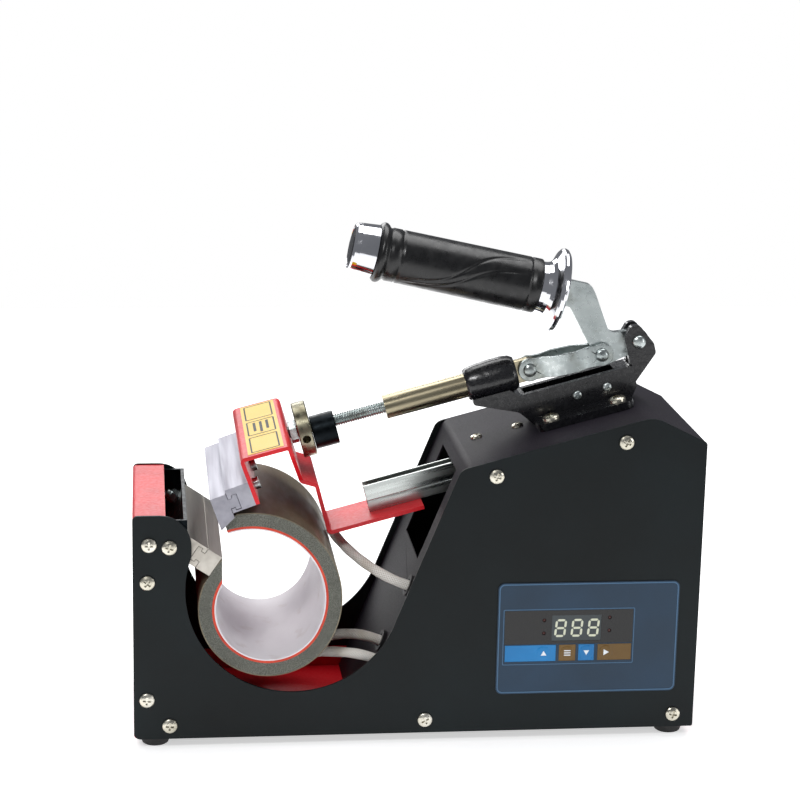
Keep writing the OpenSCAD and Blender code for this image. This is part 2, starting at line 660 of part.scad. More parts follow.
// Places a panel piece: x and z from the panel's lower left corner, depth from the plate's face.
module at_panel(depth) {
  body() translate([panel_x, front_y - depth, panel_z]) rotate([90, 0, 0]) children();
}
module control_panel() {
  color("#1f4460") at_panel(0) linear_extrude(panel_t) difference() {
    round_box(0, 0, panel_w, panel_h, 5);
    translate([window_box[0], window_box[1]]) square([window_box[2], window_box[3]]);
    for (b = button_x) translate([b[0], button_row[0]]) square([b[1], button_row[1]]);
  }
}
led_pts = [[36, 59], [36, 48.6], [86.6, 60.4], [86.6, 50]];
module display_window() {
  color("#08080a") at_panel(0) linear_extrude(panel_t) difference() {
    translate([window_box[0], window_box[1]]) square([window_box[2], window_box[3]]);
    translate([digits_box[0], digits_box[1]]) square([digits_box[2], digits_box[3]]);
    for (p = led_pts) translate(p) circle(d = 3, $fn = 24);
  }
}
module digit_display() {
  color("#4a5256") at_panel(panel_t - 0.2) translate([digits_box[0] + 0.1, digits_box[1] + 0.1, -board_y - plate_t])
    cube([digits_box[2] - 0.2, digits_box[3] - 0.2, board_y + plate_t]);
}
module indicator_leds() {
  color("#3a2a2a") for (p = led_pts) at_panel(0.1) translate([p[0], p[1], -board_y - plate_t]) {
    cylinder(h = board_y + plate_t, d = 2.8, $fn = 24);
    translate([0, 0, board_y + plate_t - 0.1]) cylinder(h = 0.6, d1 = 2.8, d2 = 1.6, $fn = 24);
  }
}
// A membrane key with a raised dome and a stem that reaches the board's switch.
module button(k) {
  b = button_x[k];
  g = button_gap;
  at_panel(0) {
    translate([b[0] + g, button_row[0] + g, -0.1]) linear_extrude(panel_t + 0.1) square([b[1] - 2 * g, button_row[1] - 2 * g]);
    translate([dome_x[k], button_row[0] + button_row[1] / 2, panel_t]) rotate_extrude()
      polygon([[0, 0], [dome_d / 2, 0], [dome_d / 2 - 0.5, 0.25], [3.2, 0.42], [0, 0.45]]);
    translate([dome_x[k], button_row[0] + button_row[1] / 2, -5.6]) cylinder(h = 5.6, d = 6);
  }
}
module button_up() { color("#0e86cc") button(0); }
module button_set() { color("#7a5a1e") button(1); }
module button_down() { color("#0e86cc") button(2); }
module button_start() { color("#7a5a1e") button(3); }
board_x = [-1, 108];
board_zr = [20, 72];
module control_board() {
  color("#2b5a34") at_panel(-board_y - plate_t + 0.1) {
    translate([board_x[0], board_zr[0], -1.8]) difference() {
      cube([board_x[1] - board_x[0], board_zr[1] - board_zr[0], 1.6]);
      for (x = [4, board_x[1] - board_x[0] - 4]) for (z = [4, board_zr[1] - board_zr[0] - 4])
        translate([x, z, -1]) cylinder(h = 4, d = 3.4, $fn = 24);
    }
    for (x = dome_x) translate([x - 3.2, button_row[0] + 3.4, -0.3]) cube([6.4, 6.4, 4.2]);
    translate([20, 24, -10]) cube([30, 14, 8.3]);
    translate([70, 28, -8]) cube([14, 22, 6.3]);
    translate([96, 40, -14]) rotate([0, 0, 0]) cylinder(h = 12.3, d = 10);
  }
}
module board_standoffs() {
  color("#c8b070") at_panel(-plate_t - board_y) for (x = [board_x[0] + 4, board_x[1] - 4])
    for (z = [board_zr[0] + 4, board_zr[1] - 4]) translate([x, z, -1.7]) {
      cylinder(h = board_y + 1.6, d = 3.2, $fn = 24);
      translate([0, 0, 1.9]) cylinder(h = board_y - 2.1, d = 6.5, $fn = 6);
      translate([0, 0, -2.4]) cylinder(h = 2.3, d = 6, $fn = 6);
    }
}
module transformer() {
  color("#6a6258") body() translate([body_len - 150, -4, pan_t + 0.1]) {
    translate([-30, -24, 0]) cube([60, 48, 2]);
    translate([-24, -20, 2]) cube([48, 40, 40]);
    translate([-15, -27, 8]) cube([30, 54, 28]);
  }
}
module power_relay() {
  color("#8a9096") body() translate([body_len - 75, 30, pan_t + 0.1]) {
    translate([-22, -18, 0]) cube([44, 30, 3]);
    for (k = [0:4]) translate([-22 + 10 * k, -18, 3]) cube([4, 30, 22]);
    translate([-16, 12, 3]) cube([30, 6, 20]);
    translate([-22, 10, 0]) cube([44, 8, 3.5]);
  }
}
module terminal_block() {
  color("#e8e4d8") body() translate([body_len - 205, 14, pan_t + 0.1]) for (k = [0:4]) translate([0, 10.2 * k, 0])
    difference() {
      cube([22, 10, 17]);
      for (x = [6, 16]) translate([x, 5, 8]) cylinder(h = 12, d = 5, $fn = 24);
    }
}
module power_inlet() {
  color("#18181a") body() translate([inlet_pt[0], body_depth / 2, inlet_pt[1]]) difference() {
    union() {
      translate([-15.5, 0, -12.5]) cube([31, 2.6, 25]);
      translate([-13.6, -26, -9.9]) cube([27.2, 27, 19.8]);
    }
    translate([-12, -14, -8.3]) cube([24, 20, 16.6]);
  }
}
module switch_frame() {
  color("#18181a") body() translate([switch_pt[0], body_depth / 2, switch_pt[1]]) difference() {
    union() {
      translate([-15.5, 0, -8]) cube([31, 1.4, 16]);
      translate([-13.6, -20, -6]) cube([27.2, 21, 12]);
    }
    translate([-11.5, -9, -5]) cube([23, 14, 10]);
    translate([0, -4, 0]) cylinder(h = 11.8, d = 3.2, center = true);
  }
}
rocker_tilt = 8;
module power_switch() {
  color("#8c1414") body() translate([switch_pt[0], body_depth / 2 - 4, switch_pt[1]]) rotate([0, 0, -rocker_tilt])
    union() {
      slab_z(9.4) polygon([[-10, -1.5], [0, -4.2], [10, -1.5], [10, 4.6], [0, 3.6], [-10, 4.6]]);
      cylinder(h = 11.4, d = 3, center = true);
    }
}
module slab_z(h) {
  linear_extrude(h, center = true) children();
}

// ---- lever and handle ----
tang_w = 20;
// Places a handle piece: x runs along the grip towards its tip.
module on_grip() {
  on_slope(grip_base[0], grip_base[1]) rotate([0, -grip_angle, 0]) children();
}
function grip_pt(t, n) = grip_base + t * [cos(grip_angle), sin(grip_angle)] + n * [-sin(grip_angle), cos(grip_angle)];
module lever_plate() {
  p = pivot_pt;
  l = rivet_l;
  color("#b7c2c0") on_slope() difference() {
    union() {
      slab(lever_t) {
        polygon(closed([grip_pt(24, 10), grip_pt(24, -10), grip_pt(-40, -10), p + [-23.5, 44.5], p + [-19.8, 11],
          p + [-2, 8.8], p + [-3, -8.5], l + [2, -9.4], l + [-8, -4], l + [-7.6, 10], grip_pt(-28, 10)],
          [0, 0, 6, 5, 7, 0, 0, 0, 0, 0, 5]));
        translate(p) circle(r = 9);
        translate(l) circle(r = 9.5);
      }
    }
    translate([p[0], 0, p[1]]) rod_y(lever_t + 2, 8);
    translate([l[0], 0, l[1]]) rod_y(lever_t + 2, 7);
  }
}
cap_len = 18;
ring_len = 10;
tip = grip_len + ring_len + cap_len;
module handle_tube() {
  color("#9aa0a0") on_grip() difference() {
    rod_x(-20, tip - 4, tube_d);
    rod_x(-21, tip, tube_d - 3.4);
  }
}
tube_hole = tube_d / 2 + 0.05;
module grip_flange() {
  r = flange_d / 2;
  color("#dfe0e4") on_grip() rotate([0, 90, 0]) rotate_extrude($fn = 96) polygon([[tube_hole, -0.2], [19.2, -0.2],
    [19.6, -4], [20.6, -7], [23.5, -9.6], [28, -11.4], [r - 2, -12.4], [r - 0.5, -13.6], [r, -15.2],
    [r - 0.5, -16.8], [r - 2.2, -18.2], [r - 5, -18.8], [24, -19.8], [18, -21.6], [tube_hole + 1, -22.4],
    [tube_hole, -21.6]]);
}
module grip_sleeve() {
  r = grip_d / 2;
  x = grip_len;
  color("#101010") on_grip() rotate([0, 90, 0]) rotate_extrude($fn = 96) polygon([[tube_hole, 0], [r - 0.6, 0],
    [r, 1], [r, 8], [r - 0.5, 8.6], [r - 0.5, 9.4], [r, 10], [r - 0.2, x * 0.5], [r - 0.5, x - 9], [r - 1, x - 8.4],
    [r - 1, x - 7.6], [r - 0.5, x - 7], [r - 0.5, x - 0.6], [r - 1.2, x + 0.8], [r - 0.8, x + 2.4], [r + 1.2, x + 4.2],
    [r + 2, x + 6.4], [r + 1.4, x + 8.2], [r - 0.4, x + ring_len - 0.4], [tube_hole, x + ring_len - 0.4]]);
}
module grip_end_cap() {
  x = grip_len + ring_len;
  color("#e3e3e8") on_grip() rotate([0, 90, 0]) rotate_extrude($fn = 96) polygon([[tube_hole, x - 0.3], [20.2, x - 0.3],
    [20, x + 2], [19, x + cap_len - 5], [18.2, x + cap_len - 1.6], [17, x + cap_len - 0.3], [15.4, x + cap_len],
    [15.1, x + cap_len - 1.5], [tube_hole, x + cap_len - 2.5]]);
}
module end_cap_plug() {
  color("#0c0c0e") on_grip() rotate([0, 90, 0]) rotate_extrude($fn = 64) polygon([[0, tip - 16], [10.9, tip - 16],
    [10.9, tip - 3.9], [12.6, tip - 3.9], [12.6, tip - 2.2], [15, tip - 1.4], [15, tip - 0.4], [12, tip + 0.4], [0, tip + 0.9]]);
}

// ---- links and plunger ----
jog_in = [16, 20];
// One link plate: flat eyes at its ends and a middle that stands further out.
module link_plate() {
  q = [plunger_q, axis_h];
  d = unit(rivet_l - q);
  a = atan2(d[1], d[0]);
  eye_y = link_in + link_t / 2;
  jog_y = link_jog + link_t / 2;
  translate([q[0], 0, q[1]]) rotate([0, -a, 0]) {
    for (x = [0, link_len]) translate([x, eye_y, 0]) slab(link_t) circle(r = 9);
    translate([0, 0, -8.3]) linear_extrude(16.6) polygon(concat(
      [[0, eye_y - link_t / 2], [jog_in[0] - 5, eye_y - link_t / 2], [jog_in[1], jog_y - link_t / 2],
        [link_len - jog_in[1], jog_y - link_t / 2], [link_len - jog_in[0] + 5, eye_y - link_t / 2],
        [link_len, eye_y - link_t / 2]],
      [[link_len, eye_y + link_t / 2], [link_len - jog_in[0] + 4, eye_y + link_t / 2],
        [link_len - jog_in[1] - 1, jog_y + link_t / 2], [jog_in[1] + 1, jog_y + link_t / 2],
        [jog_in[0] - 4, eye_y + link_t / 2], [0, eye_y + link_t / 2]]));
  }
}
module link_plates() {
  color("#b5bdb2") on_slope() both_sides() difference() {
    link_plate();
    translate([plunger_q, 0, axis_h]) rod_y(60, 7 - 2 * run_gap);
    translate([rivet_l[0], 0, rivet_l[1]]) rod_y(60, 7 - 2 * run_gap);
  }
}
module rivet_head() {
  rotate([-90, 0, 0]) rotate_extrude() polygon(concat([[0, 0]], [for (k = [0:6])
    [5.2 * cos(15 * k), 0.5 + 2.5 * sin(15 * k)]]));
}
module link_rivets() {
  d = 7 - 2 * run_gap;
  out = link_in + link_t;
  color("#c4c9c4") on_slope() {
    translate([rivet_l[0], 0, rivet_l[1]]) {
      rod_y(2 * out + 0.6, d);
      both_sides() translate([0, out, 0]) rivet_head();
    }
    both_sides() translate([plunger_q, 0, axis_h]) {
      translate([0, link_in + (link_t + 0.3) / 2, 0]) rod_y(link_t + 0.3, d);
      translate([0, out, 0]) rivet_head();
    }
  }
}
tongue_s = 54;
module plunger() {
  color("#a89f80") on_slope(0, axis_h) difference() {
    union() {
      rod_x(plunger_left, plunger_q, plunger_d);
      translate([plunger_q, 0, 0]) rod_y(lever_t, plunger_d - 1.6);
    }
    both_sides() translate([tongue_s, lever_t / 2, -20]) cube([40, 20, 40]);
    rod_x(plunger_left - 1, plunger_left + 34, rod_d + 2 * run_gap);
  }
}

// ---- carriage ----
module carriage_outline() {
  r = hat_right;
  hat_left = leg_foot[0] - (hat_h - leg_foot[1]) * tan(leg_tilt);
  leg_low = [r + (hat_h - step_z[0]) * tan(3), step_z[0]];
  strip(bent([leg_foot, [hat_left, hat_h], [r, hat_h], leg_low, [leg2_s, step_z[1]],
    [leg2_s, flange_h], [flange_end, flange_h]], [0, 4, 4, 1, 4, 1, 0]), -bracket_t);
}
module carriage_taper() {
  polygon([[-hat_w / 2, hat_h + 5], [-hat_w / 2, hat_h - 9], [-step_y, step_z[0]], [-step_y, step_z[1] - 4],
    [-flange_y, flange_h + 4], [-flange_y, flange_h - 9], [flange_y, flange_h - 9], [flange_y, flange_h + 4],
    [step_y, step_z[1] - 4], [step_y, step_z[0]], [hat_w / 2, hat_h - 9], [hat_w / 2, hat_h + 5]]);
}
module carriage_bracket() {
  split = hat_right - 8;
  color("#dc0f1e") on_slope() difference() {
    union() {
      intersection() {
        slab(hat_w) carriage_outline();
        translate([split - 60, -hat_w, -60]) cube([60, 2 * hat_w, 160]);
      }
      intersection() {
        slab(hat_w) carriage_outline();
        translate([split, 0, 0]) rotate([90, 0, 90]) linear_extrude(120) carriage_taper();
      }
    }
    translate([0, 0, axis_h]) rod_x(hat_right - 8, hat_right + 8, rod_d + 0.8);
    for (s = rail_screw_s) translate([s, 0, flange_h - 6]) cylinder(h = 10, d = 4.4, $fn = 32);
    at_bar_bolts_local() translate([0, 0, -12]) cylinder(h = 20, d = 5.4, $fn = 32);
  }
}
rail_screw_s = [-62, -42];
rail_left = -72.4;
module slide_rail() {
  color("#c9cdc9") on_slope(0, flange_h) difference() {
    slab_rail();
    for (s = rail_screw_s) translate([s, 0, -1]) cylinder(h = 4, d = 4.1, $fn = 32);
  }
}
// An aluminium channel, open at its top, with a shallow groove along each side.
module slab_rail() {
  w = rail_w;
  wall = 2.2;
  translate([rail_left, 0, 0]) rotate([90, 0, 90]) linear_extrude(rail_len) difference() {
    translate([-w / 2, 0]) square([w, rail_h]);
    translate([-w / 2 + wall, 2.4]) square([w - 2 * wall, rail_h]);
    for (x = [-w / 2, w / 2]) translate([x, rail_h * 0.42]) square([0.8, 1], center = true);
  }
}
module rail_screws() {
  color("#c8c8c2") on_slope() for (s = rail_screw_s) translate([s, 0, flange_h - bracket_t]) rotate([180, 0, 0])
    cross_screw(8, 2.2, 4, bracket_t + 4.5);
}
module at_moving_bar() {
  on_slope(leg_foot[0], leg_foot[1]) rotate([0, -leg_tilt, 0]) translate([-bar_u, 0, bar_drop]) children();
}
bar_bolt_z = -bar_drop / 2 + 1;
// Bolts through the left leg into the rail bar, placed in the slope's frame.
module at_bar_bolts_local() {
  translate([leg_foot[0], 0, leg_foot[1]]) rotate([0, -leg_tilt, 0]) for (y = [-50, 0, 50])
    translate([0, y * hat_w / 150, bar_drop + bar_bolt_z]) rotate([0, 90, 0]) children();
}
module moving_rail_bar() {
  color("#d5d8d2") difference() {
    at_moving_bar() slab(hat_w) rail_bar_outline(rail_bar_w, bar_rise, bar_drop);
    on_slope() at_bar_bolts_local() translate([0, 0, -9]) cylinder(h = 10, d = 5.1, $fn = 32);
  }
}
module moving_end_bar() {
  color("#e8e4ee") at_moving_bar() slab(hat_w - 1) end_bar_outline(moving_bar_h, lip_drop);
}
module moving_bar_bolts() {
  color("#c8c8c2") on_slope() at_bar_bolts_local() translate([0, 0, bracket_t]) {
    translate([0, 0, -8 - bracket_t]) cylinder(h = 8 + bracket_t + 0.2, d = 5, $fn = 32);
    difference() {
      cylinder(h = 4, d = 9);
      translate([0, 0, 1.6]) cylinder(h = 4, d = 4.6, $fn = 6);
    }
  }
}
module carriage_label() {
  color("#fff200") on_slope() translate([-149.8, -hat_w / 2 + 4, hat_h]) cube([27.2, hat_w - 8, 0.3]);
}

// ---- pressure adjuster ----
disc_s = [-110.3, -110.3 + disc_t];
module adjusting_rod() {
  color("#b9beb8") on_slope(0, axis_h) rod_x(-131, plunger_left + 24, rod_d);
}
// The nut inside the hat and the spacer nut outside it, which hold the rod in the carriage.
module lock_nuts() {
  color("#c8c8c4") on_slope(0, axis_h) difference() {
    union() {
      translate([-128.7, 0, 0]) rotate([0, 90, 0]) cylinder(h = 7.8, d = 12.8 / cos(30), $fn = 6);
      translate([-116.2, 0, 0]) rotate([0, 90, 0]) cylinder(h = disc_s[0] + 116.2 - 0.1, d = 16 / cos(30), $fn = 6);
    }
    rod_x(-140, -100, rod_d);
  }
}
module adjuster_disc() {
  color("#8f8d7c") on_slope(0, axis_h) difference() {
    rotate([0, 90, 0]) translate([0, 0, disc_s[0]]) rotate_extrude($fn = 96) polygon([[rod_d / 2, 0],
      [disc_d / 2 - 0.8, 0], [disc_d / 2, 0.8], [disc_d / 2, disc_t - 0.8], [disc_d / 2 - 0.8, disc_t], [rod_d / 2, disc_t]]);
    translate([(disc_s[0] + disc_s[1]) / 2, 0, 0]) for (a = [0, 120, 240]) rotate([disc_turn + a, 0, 0])
      translate([0, -disc_d / 2 + 4, 0]) rod_y(14, 6.5);
  }
}
disc_turn = 8;
collar_drop = 4.8;
module lock_collar() {
  color("#111416") on_slope(0, axis_h) difference() {
    translate([0, 0, -collar_drop]) rod_x(disc_s[1] + 0.3, -80.7, collar_d);
    rod_x(disc_s[1] - 1, -78, rod_d);
  }
}

base_pan();
front_side_plate();
rear_side_plate();
top_cover();
side_screws();
feet();
foot_screws();
column_bracket();
fixed_rail_bar();
fixed_end_bar();
fixed_bar_bolts();
heater_liner();
heater_mat();
heater_sponge();
heater_jacket();
heater_leads();
lead_grommets();
rail_guide();
guide_screws();
backing_plate();
clamp_body();
clamp_bolts();
clamp_set_screws();
handle_pin();
control_panel();
display_window();
digit_display();
indicator_leds();
control_board();
board_standoffs();
transformer();
power_relay();
terminal_block();
power_inlet();
switch_frame();
power_switch();
lever_plate();
handle_tube();
grip_flange();
grip_sleeve();
grip_end_cap();
end_cap_plug();
link_plates();
link_rivets();
plunger();
carriage_bracket();
slide_rail();
rail_screws();
moving_rail_bar();
moving_end_bar();
moving_bar_bolts();
carriage_label();
adjusting_rod();
lock_nuts();
adjuster_disc();
lock_collar();
button_up();
button_set();
button_down();
button_start();
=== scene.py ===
"""Looks of the mug heat press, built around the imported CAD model. Metres, in the CAD model's frame."""

import json
import math

import bmesh
import bpy
import numpy as np
from mathutils import Matrix, Vector


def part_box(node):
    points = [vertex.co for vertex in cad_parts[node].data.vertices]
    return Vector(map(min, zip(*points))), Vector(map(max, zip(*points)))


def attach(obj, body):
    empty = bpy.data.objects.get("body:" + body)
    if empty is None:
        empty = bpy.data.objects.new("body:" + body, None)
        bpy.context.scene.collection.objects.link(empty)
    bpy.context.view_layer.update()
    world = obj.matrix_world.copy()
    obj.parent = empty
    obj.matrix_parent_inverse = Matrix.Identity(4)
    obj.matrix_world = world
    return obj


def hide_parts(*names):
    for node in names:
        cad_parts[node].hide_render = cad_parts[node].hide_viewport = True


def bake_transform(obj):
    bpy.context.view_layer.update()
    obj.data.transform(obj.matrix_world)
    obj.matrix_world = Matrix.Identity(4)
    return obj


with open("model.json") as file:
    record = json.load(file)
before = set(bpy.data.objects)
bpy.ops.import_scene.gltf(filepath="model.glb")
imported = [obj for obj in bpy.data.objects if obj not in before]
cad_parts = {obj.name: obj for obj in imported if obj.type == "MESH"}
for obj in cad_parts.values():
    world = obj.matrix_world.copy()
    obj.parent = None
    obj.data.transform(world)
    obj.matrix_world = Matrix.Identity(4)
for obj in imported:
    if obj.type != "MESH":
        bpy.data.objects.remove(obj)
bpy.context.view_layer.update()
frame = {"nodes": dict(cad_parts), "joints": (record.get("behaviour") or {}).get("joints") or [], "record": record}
MM = 0.001


# ---------------------------------------------------------------- places taken from the frame
def joint(name):
    return next(j for j in frame["joints"] if j["name"] == name)


def mount(name):
    return next(m for m in frame["record"]["mounts"] if m["name"] == name)


UP_SLOPE = Vector(joint("plunger_slide")["axis"]).normalized()
OFF_SLOPE = Vector((-UP_SLOPE.z, 0, UP_SLOPE.x))
BACK = Vector((0, 1, 0))
MUG = Vector(mount("mug_clamp")["pos_m"])
MUG_R = mount("mug_clamp")["dims"]["r_mm"] * MM


def axis_of(node):
    """Centre and direction of a long round node; the direction points to -X."""
    co = np.array([v.co for v in frame["nodes"][node].data.vertices])
    lo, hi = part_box(node)
    centre = (lo + hi) / 2
    direction = Vector(np.linalg.svd(co - co.mean(0), full_matrices=False)[2][0])
    return centre, (direction if direction.x < 0 else -direction).normalized()


def span_on(node, centre, direction):
    """How far a node reaches along a direction, measured from a point."""
    reach = [(v.co - centre).dot(direction) for v in frame["nodes"][node].data.vertices]
    return min(reach), max(reach)


# ---------------------------------------------------------------- camera and light
# The view, recovered from the body's straight edges: its axes, its place and its lens.
CAMERA_RIGHT = Vector((0.99333, -0.11355, 0.02020))
CAMERA_UP = Vector((0.00758, 0.23905, 0.97098))
CAMERA_PLACE = Vector((-0.2034, -1.6222, 0.6529))
CAMERA_LENS_MM = 98.28
SENSOR_MM = 36
ROOM_TINT = (0.9, 0.93, 1, 1)
ROOM_STRENGTH = 0.2
FLOOR_HALF = 1.6
FLOOR_GLOW = 0.55
# Each light: where it stands, what it looks at, its width and height, and its power in watts.
LIGHTS = {
    "key": ((-0.75, -1.3, 1.5), (0, 0, 0.15), (0.5, 0.4), 12),
    "top": ((0.15, 0.35, 1.5), (0, 0, 0.1), (1.5, 1.0), 17),
    "fill": ((1.5, -1.0, 0.55), (0.05, 0, 0.15), (0.3, 0.7), 4),
    "back": ((-0.5, 1.4, 0.9), (0, 0, 0.2), (1.2, 0.6), 9),
}


def make_camera():
    camera = bpy.data.objects.new("camera", bpy.data.cameras.new("camera"))
    bpy.context.scene.collection.objects.link(camera)
    columns = (CAMERA_RIGHT, CAMERA_UP, CAMERA_RIGHT.cross(CAMERA_UP), CAMERA_PLACE)
    camera.matrix_world = Matrix([[c[i] for c in columns] for i in range(3)] + [(0, 0, 0, 1)])
    camera.data.sensor_width = SENSOR_MM
    camera.data.lens = CAMERA_LENS_MM
    camera.data.clip_start = 0.05
    bpy.context.scene.camera = camera


def area_light(name, place, aim, size, power):
    light = bpy.data.objects.new(name, bpy.data.lights.new(name, "AREA"))
    light.data.shape = "RECTANGLE"
    light.data.size, light.data.size_y = size
    light.data.energy = power
    light.location = place
    light.rotation_mode = "QUATERNION"
    light.rotation_quaternion = (Vector(aim) - Vector(place)).to_track_quat("-Z", "Y")
    bpy.context.scene.collection.objects.link(light)


def make_studio():
    """A dim pale room that the camera sees as pure white, four lights and a glowing floor."""
    world = bpy.data.worlds.new("studio")
    world.use_nodes = True
    tree = world.node_tree
    room = tree.nodes["Background"]
    room.inputs["Color"].default_value = ROOM_TINT
    room.inputs["Strength"].default_value = ROOM_STRENGTH
    seen = tree.nodes.new("ShaderNodeBackground")
    seen.inputs["Color"].default_value = (1, 1, 1, 1)
    seen.inputs["Strength"].default_value = 1.0
    mix = tree.nodes.new("ShaderNodeMixShader")
    tree.links.new(tree.nodes.new("ShaderNodeLightPath").outputs["Is Camera Ray"], mix.inputs[0])
    tree.links.new(room.outputs[0], mix.inputs[1])
    tree.links.new(seen.outputs[0], mix.inputs[2])
    tree.links.new(mix.outputs[0], tree.nodes["World Output"].inputs["Surface"])
    bpy.context.scene.world = world
    for name, setting in LIGHTS.items():
        area_light(name, *setting)
    bm = bmesh.new()
    bmesh.ops.create_grid(bm, x_segments=1, y_segments=1, size=FLOOR_HALF)
    mesh = bpy.data.meshes.new("floor")
    bm.to_mesh(mesh)
    bm.free()
    floor = bpy.data.objects.new("floor", mesh)
    bpy.context.scene.collection.objects.link(floor)
    mesh.materials.append(plain_floor())
    bpy.context.scene.view_settings.view_transform = "Standard"


# ---------------------------------------------------------------- materials
def linear(code):
    """A colour written as rrggbb, in linear light."""
    channels = [int(code[i : i + 2], 16) / 255 for i in (0, 2, 4)]
    return [c / 12.92 if c <= 0.04045 else ((c + 0.055) / 1.055) ** 2.4 for c in channels] + [1]


class Finish:
    """A procedural material, built up in layers on one Principled shader."""

    def __init__(self, name, rough, metallic=0.0, coat=0.0, coat_rough=0.1, specular=0.5, sheen=0.0):
        self.material = bpy.data.materials.new(name)
        self.material.use_nodes = True
        self.tree = self.material.node_tree
        self.shader = self.tree.nodes["Principled BSDF"]
        self.shader.inputs["Roughness"].default_value = rough
        self.shader.inputs["Metallic"].default_value = metallic
        self.shader.inputs["Coat Weight"].default_value = coat
        self.shader.inputs["Coat Roughness"].default_value = coat_rough
        self.shader.inputs["Specular IOR Level"].default_value = specular
        self.shader.inputs["Sheen Weight"].default_value = sheen
        self.place = self.tree.nodes.new("ShaderNodeTexCoord").outputs["Object"]
        self.normal = None

    def link(self, a, b):
        self.tree.links.new(a, b)

    def coords(self, stretch=(1, 1, 1), turn=(0, 0, 0), source=None):
        turned = self.tree.nodes.new("ShaderNodeMapping")
        turned.inputs["Rotation"].default_value = turn
        self.link(source or self.place, turned.inputs["Vector"])
        scaled = self.tree.nodes.new("ShaderNodeMapping")
        scaled.inputs["Scale"].default_value = stretch
        self.link(turned.outputs[0], scaled.inputs["Vector"])
        return scaled.outputs[0]

    def noise(self, scale, detail=3, stretch=(1, 1, 1), turn=(0, 0, 0), source=None):
        node = self.tree.nodes.new("ShaderNodeTexNoise")
        node.inputs["Scale"].default_value = scale
        node.inputs["Detail"].default_value = detail
        self.link(self.coords(stretch, turn, source), node.inputs["Vector"])
        return node.outputs[0]

    def cells(self, scale):
        node = self.tree.nodes.new("ShaderNodeTexVoronoi")
        node.inputs["Scale"].default_value = scale
        self.link(self.coords(), node.inputs["Vector"])
        return node.outputs["Distance"]

    def math(self, what, a, b=0.0):
        node = self.tree.nodes.new("ShaderNodeMath")
        node.operation = what
        for i, value in enumerate((a, b)):
            if isinstance(value, (int, float)):
                node.inputs[i].default_value = value
            else:
                self.link(value, node.inputs[i])
        return node.outputs[0]

    def spread(self, value, low, high, start=0.3, stop=0.7):
        node = self.tree.nodes.new("ShaderNodeMapRange")
        for i, x in enumerate((start, stop, low, high), start=1):
            node.inputs[i].default_value = x
        self.link(value, node.inputs[0])
        return node.outputs[0]

    def colour(self, stops, value):
        """Base colour from a ramp of (position, colour) read at value."""
        ramp = self.tree.nodes.new("ShaderNodeValToRGB")
        while len(ramp.color_ramp.elements) < len(stops):
            ramp.color_ramp.elements.new(0.5)
        for element, (position, code) in zip(ramp.color_ramp.elements, stops):
            element.position = position
            element.color = linear(code)
        self.link(value, ramp.inputs[0])
        self.link(ramp.outputs[0], self.shader.inputs["Base Color"])
        return self

    def over(self, value, code):
        """Paints a colour over the base colour, as much as value says."""
        mix = self.tree.nodes.new("ShaderNodeMix")
        mix.data_type = "RGBA"
        under = self.shader.inputs["Base Color"].links[0].from_socket
        self.link(value, mix.inputs[0])
        self.link(under, mix.inputs[6])
        mix.inputs[7].default_value = linear(code)
        self.link(mix.outputs[2], self.shader.inputs["Base Color"])
        return self

    def rough(self, value, low, high, start=0.3, stop=0.7):
        self.link(self.spread(value, low, high, start, stop), self.shader.inputs["Roughness"])
        return self

    def bump(self, height, depth, strength=1.0):
        """Relief of a depth in millimetres."""
        node = self.tree.nodes.new("ShaderNodeBump")
        node.inputs["Strength"].default_value = strength
        node.inputs["Distance"].default_value = depth * MM
        self.link(height, node.inputs["Height"])
        if self.normal is not None:
            self.link(self.normal, node.inputs["Normal"])
        self.normal = node.outputs[0]
        self.link(self.normal, self.shader.inputs["Normal"])
        return self


def plain_floor():
    """White paper that glows a little, so only the part near the machine is in shade."""
    f = Finish("floor", 0.9, specular=0.0)
    f.colour([(0.3, "fbfbfb"), (0.7, "ffffff")], f.noise(2))
    f.shader.inputs["Emission Color"].default_value = (1, 1, 1, 1)
    f.shader.inputs["Emission Strength"].default_value = FLOOR_GLOW
    return f.material


def powder_coat(name, dark, mid, light, rough=0.42, grain=0.05, size=1900):
    """Thermoset paint with a fine leathery grain."""
    f = Finish(name, rough, specular=0.22)
    f.colour([(0.25, dark), (0.5, mid), (0.8, light)], f.noise(9, 4))
    fine = f.noise(size, 2)
    f.rough(fine, rough - 0.06, rough + 0.1)
    f.bump(fine, grain, 0.7)
    f.bump(f.noise(260, 3), grain * 0.9, 0.25)
    return f.material


def gloss_paint(name, dark, mid, light, rough=0.24):
    """Smooth coat with slight orange peel."""
    f = Finish(name, rough, coat=0.1, coat_rough=0.25, specular=0.35)
    f.colour([(0.3, dark), (0.55, mid), (0.8, light)], f.noise(14, 4))
    f.rough(f.noise(420, 2), rough - 0.04, rough + 0.1)
    f.bump(f.noise(330, 2), 0.05, 0.35)
    return f.material


def cast_paint():
    f = Finish("cast_black", 0.26, coat=0.4, coat_rough=0.1)
    f.colour([(0.3, "07070a"), (0.6, "101014"), (0.85, "1b1b20")], f.noise(60, 5))
    f.rough(f.noise(500, 3), 0.18, 0.42)
    f.bump(f.noise(190, 5), 0.55, 0.8)
    f.bump(f.noise(900, 2), 0.12, 0.5)
    return f.material


def worked_metal(
    name, dark, mid, light, rough=0.3, stretch=(1, 1, 1), turn=(0, 0, 0), marks=0.5, stain=None
):
    """Bare or plated metal with drawn or turned lines along the long axis of stretch."""
    f = Finish(name, rough, metallic=1.0)
    lines = f.noise(260, 4, stretch, turn)
    f.colour([(0.25, dark), (0.55, mid), (0.8, light)], f.noise(38, 5, stretch, turn))
    f.rough(lines, rough - 0.1, rough + 0.14)
    f.bump(lines, 0.05, marks)
    if stain:
        f.over(f.spread(f.noise(55, 6), 0, 0.75, 0.55, 0.72), stain)
    return f.material


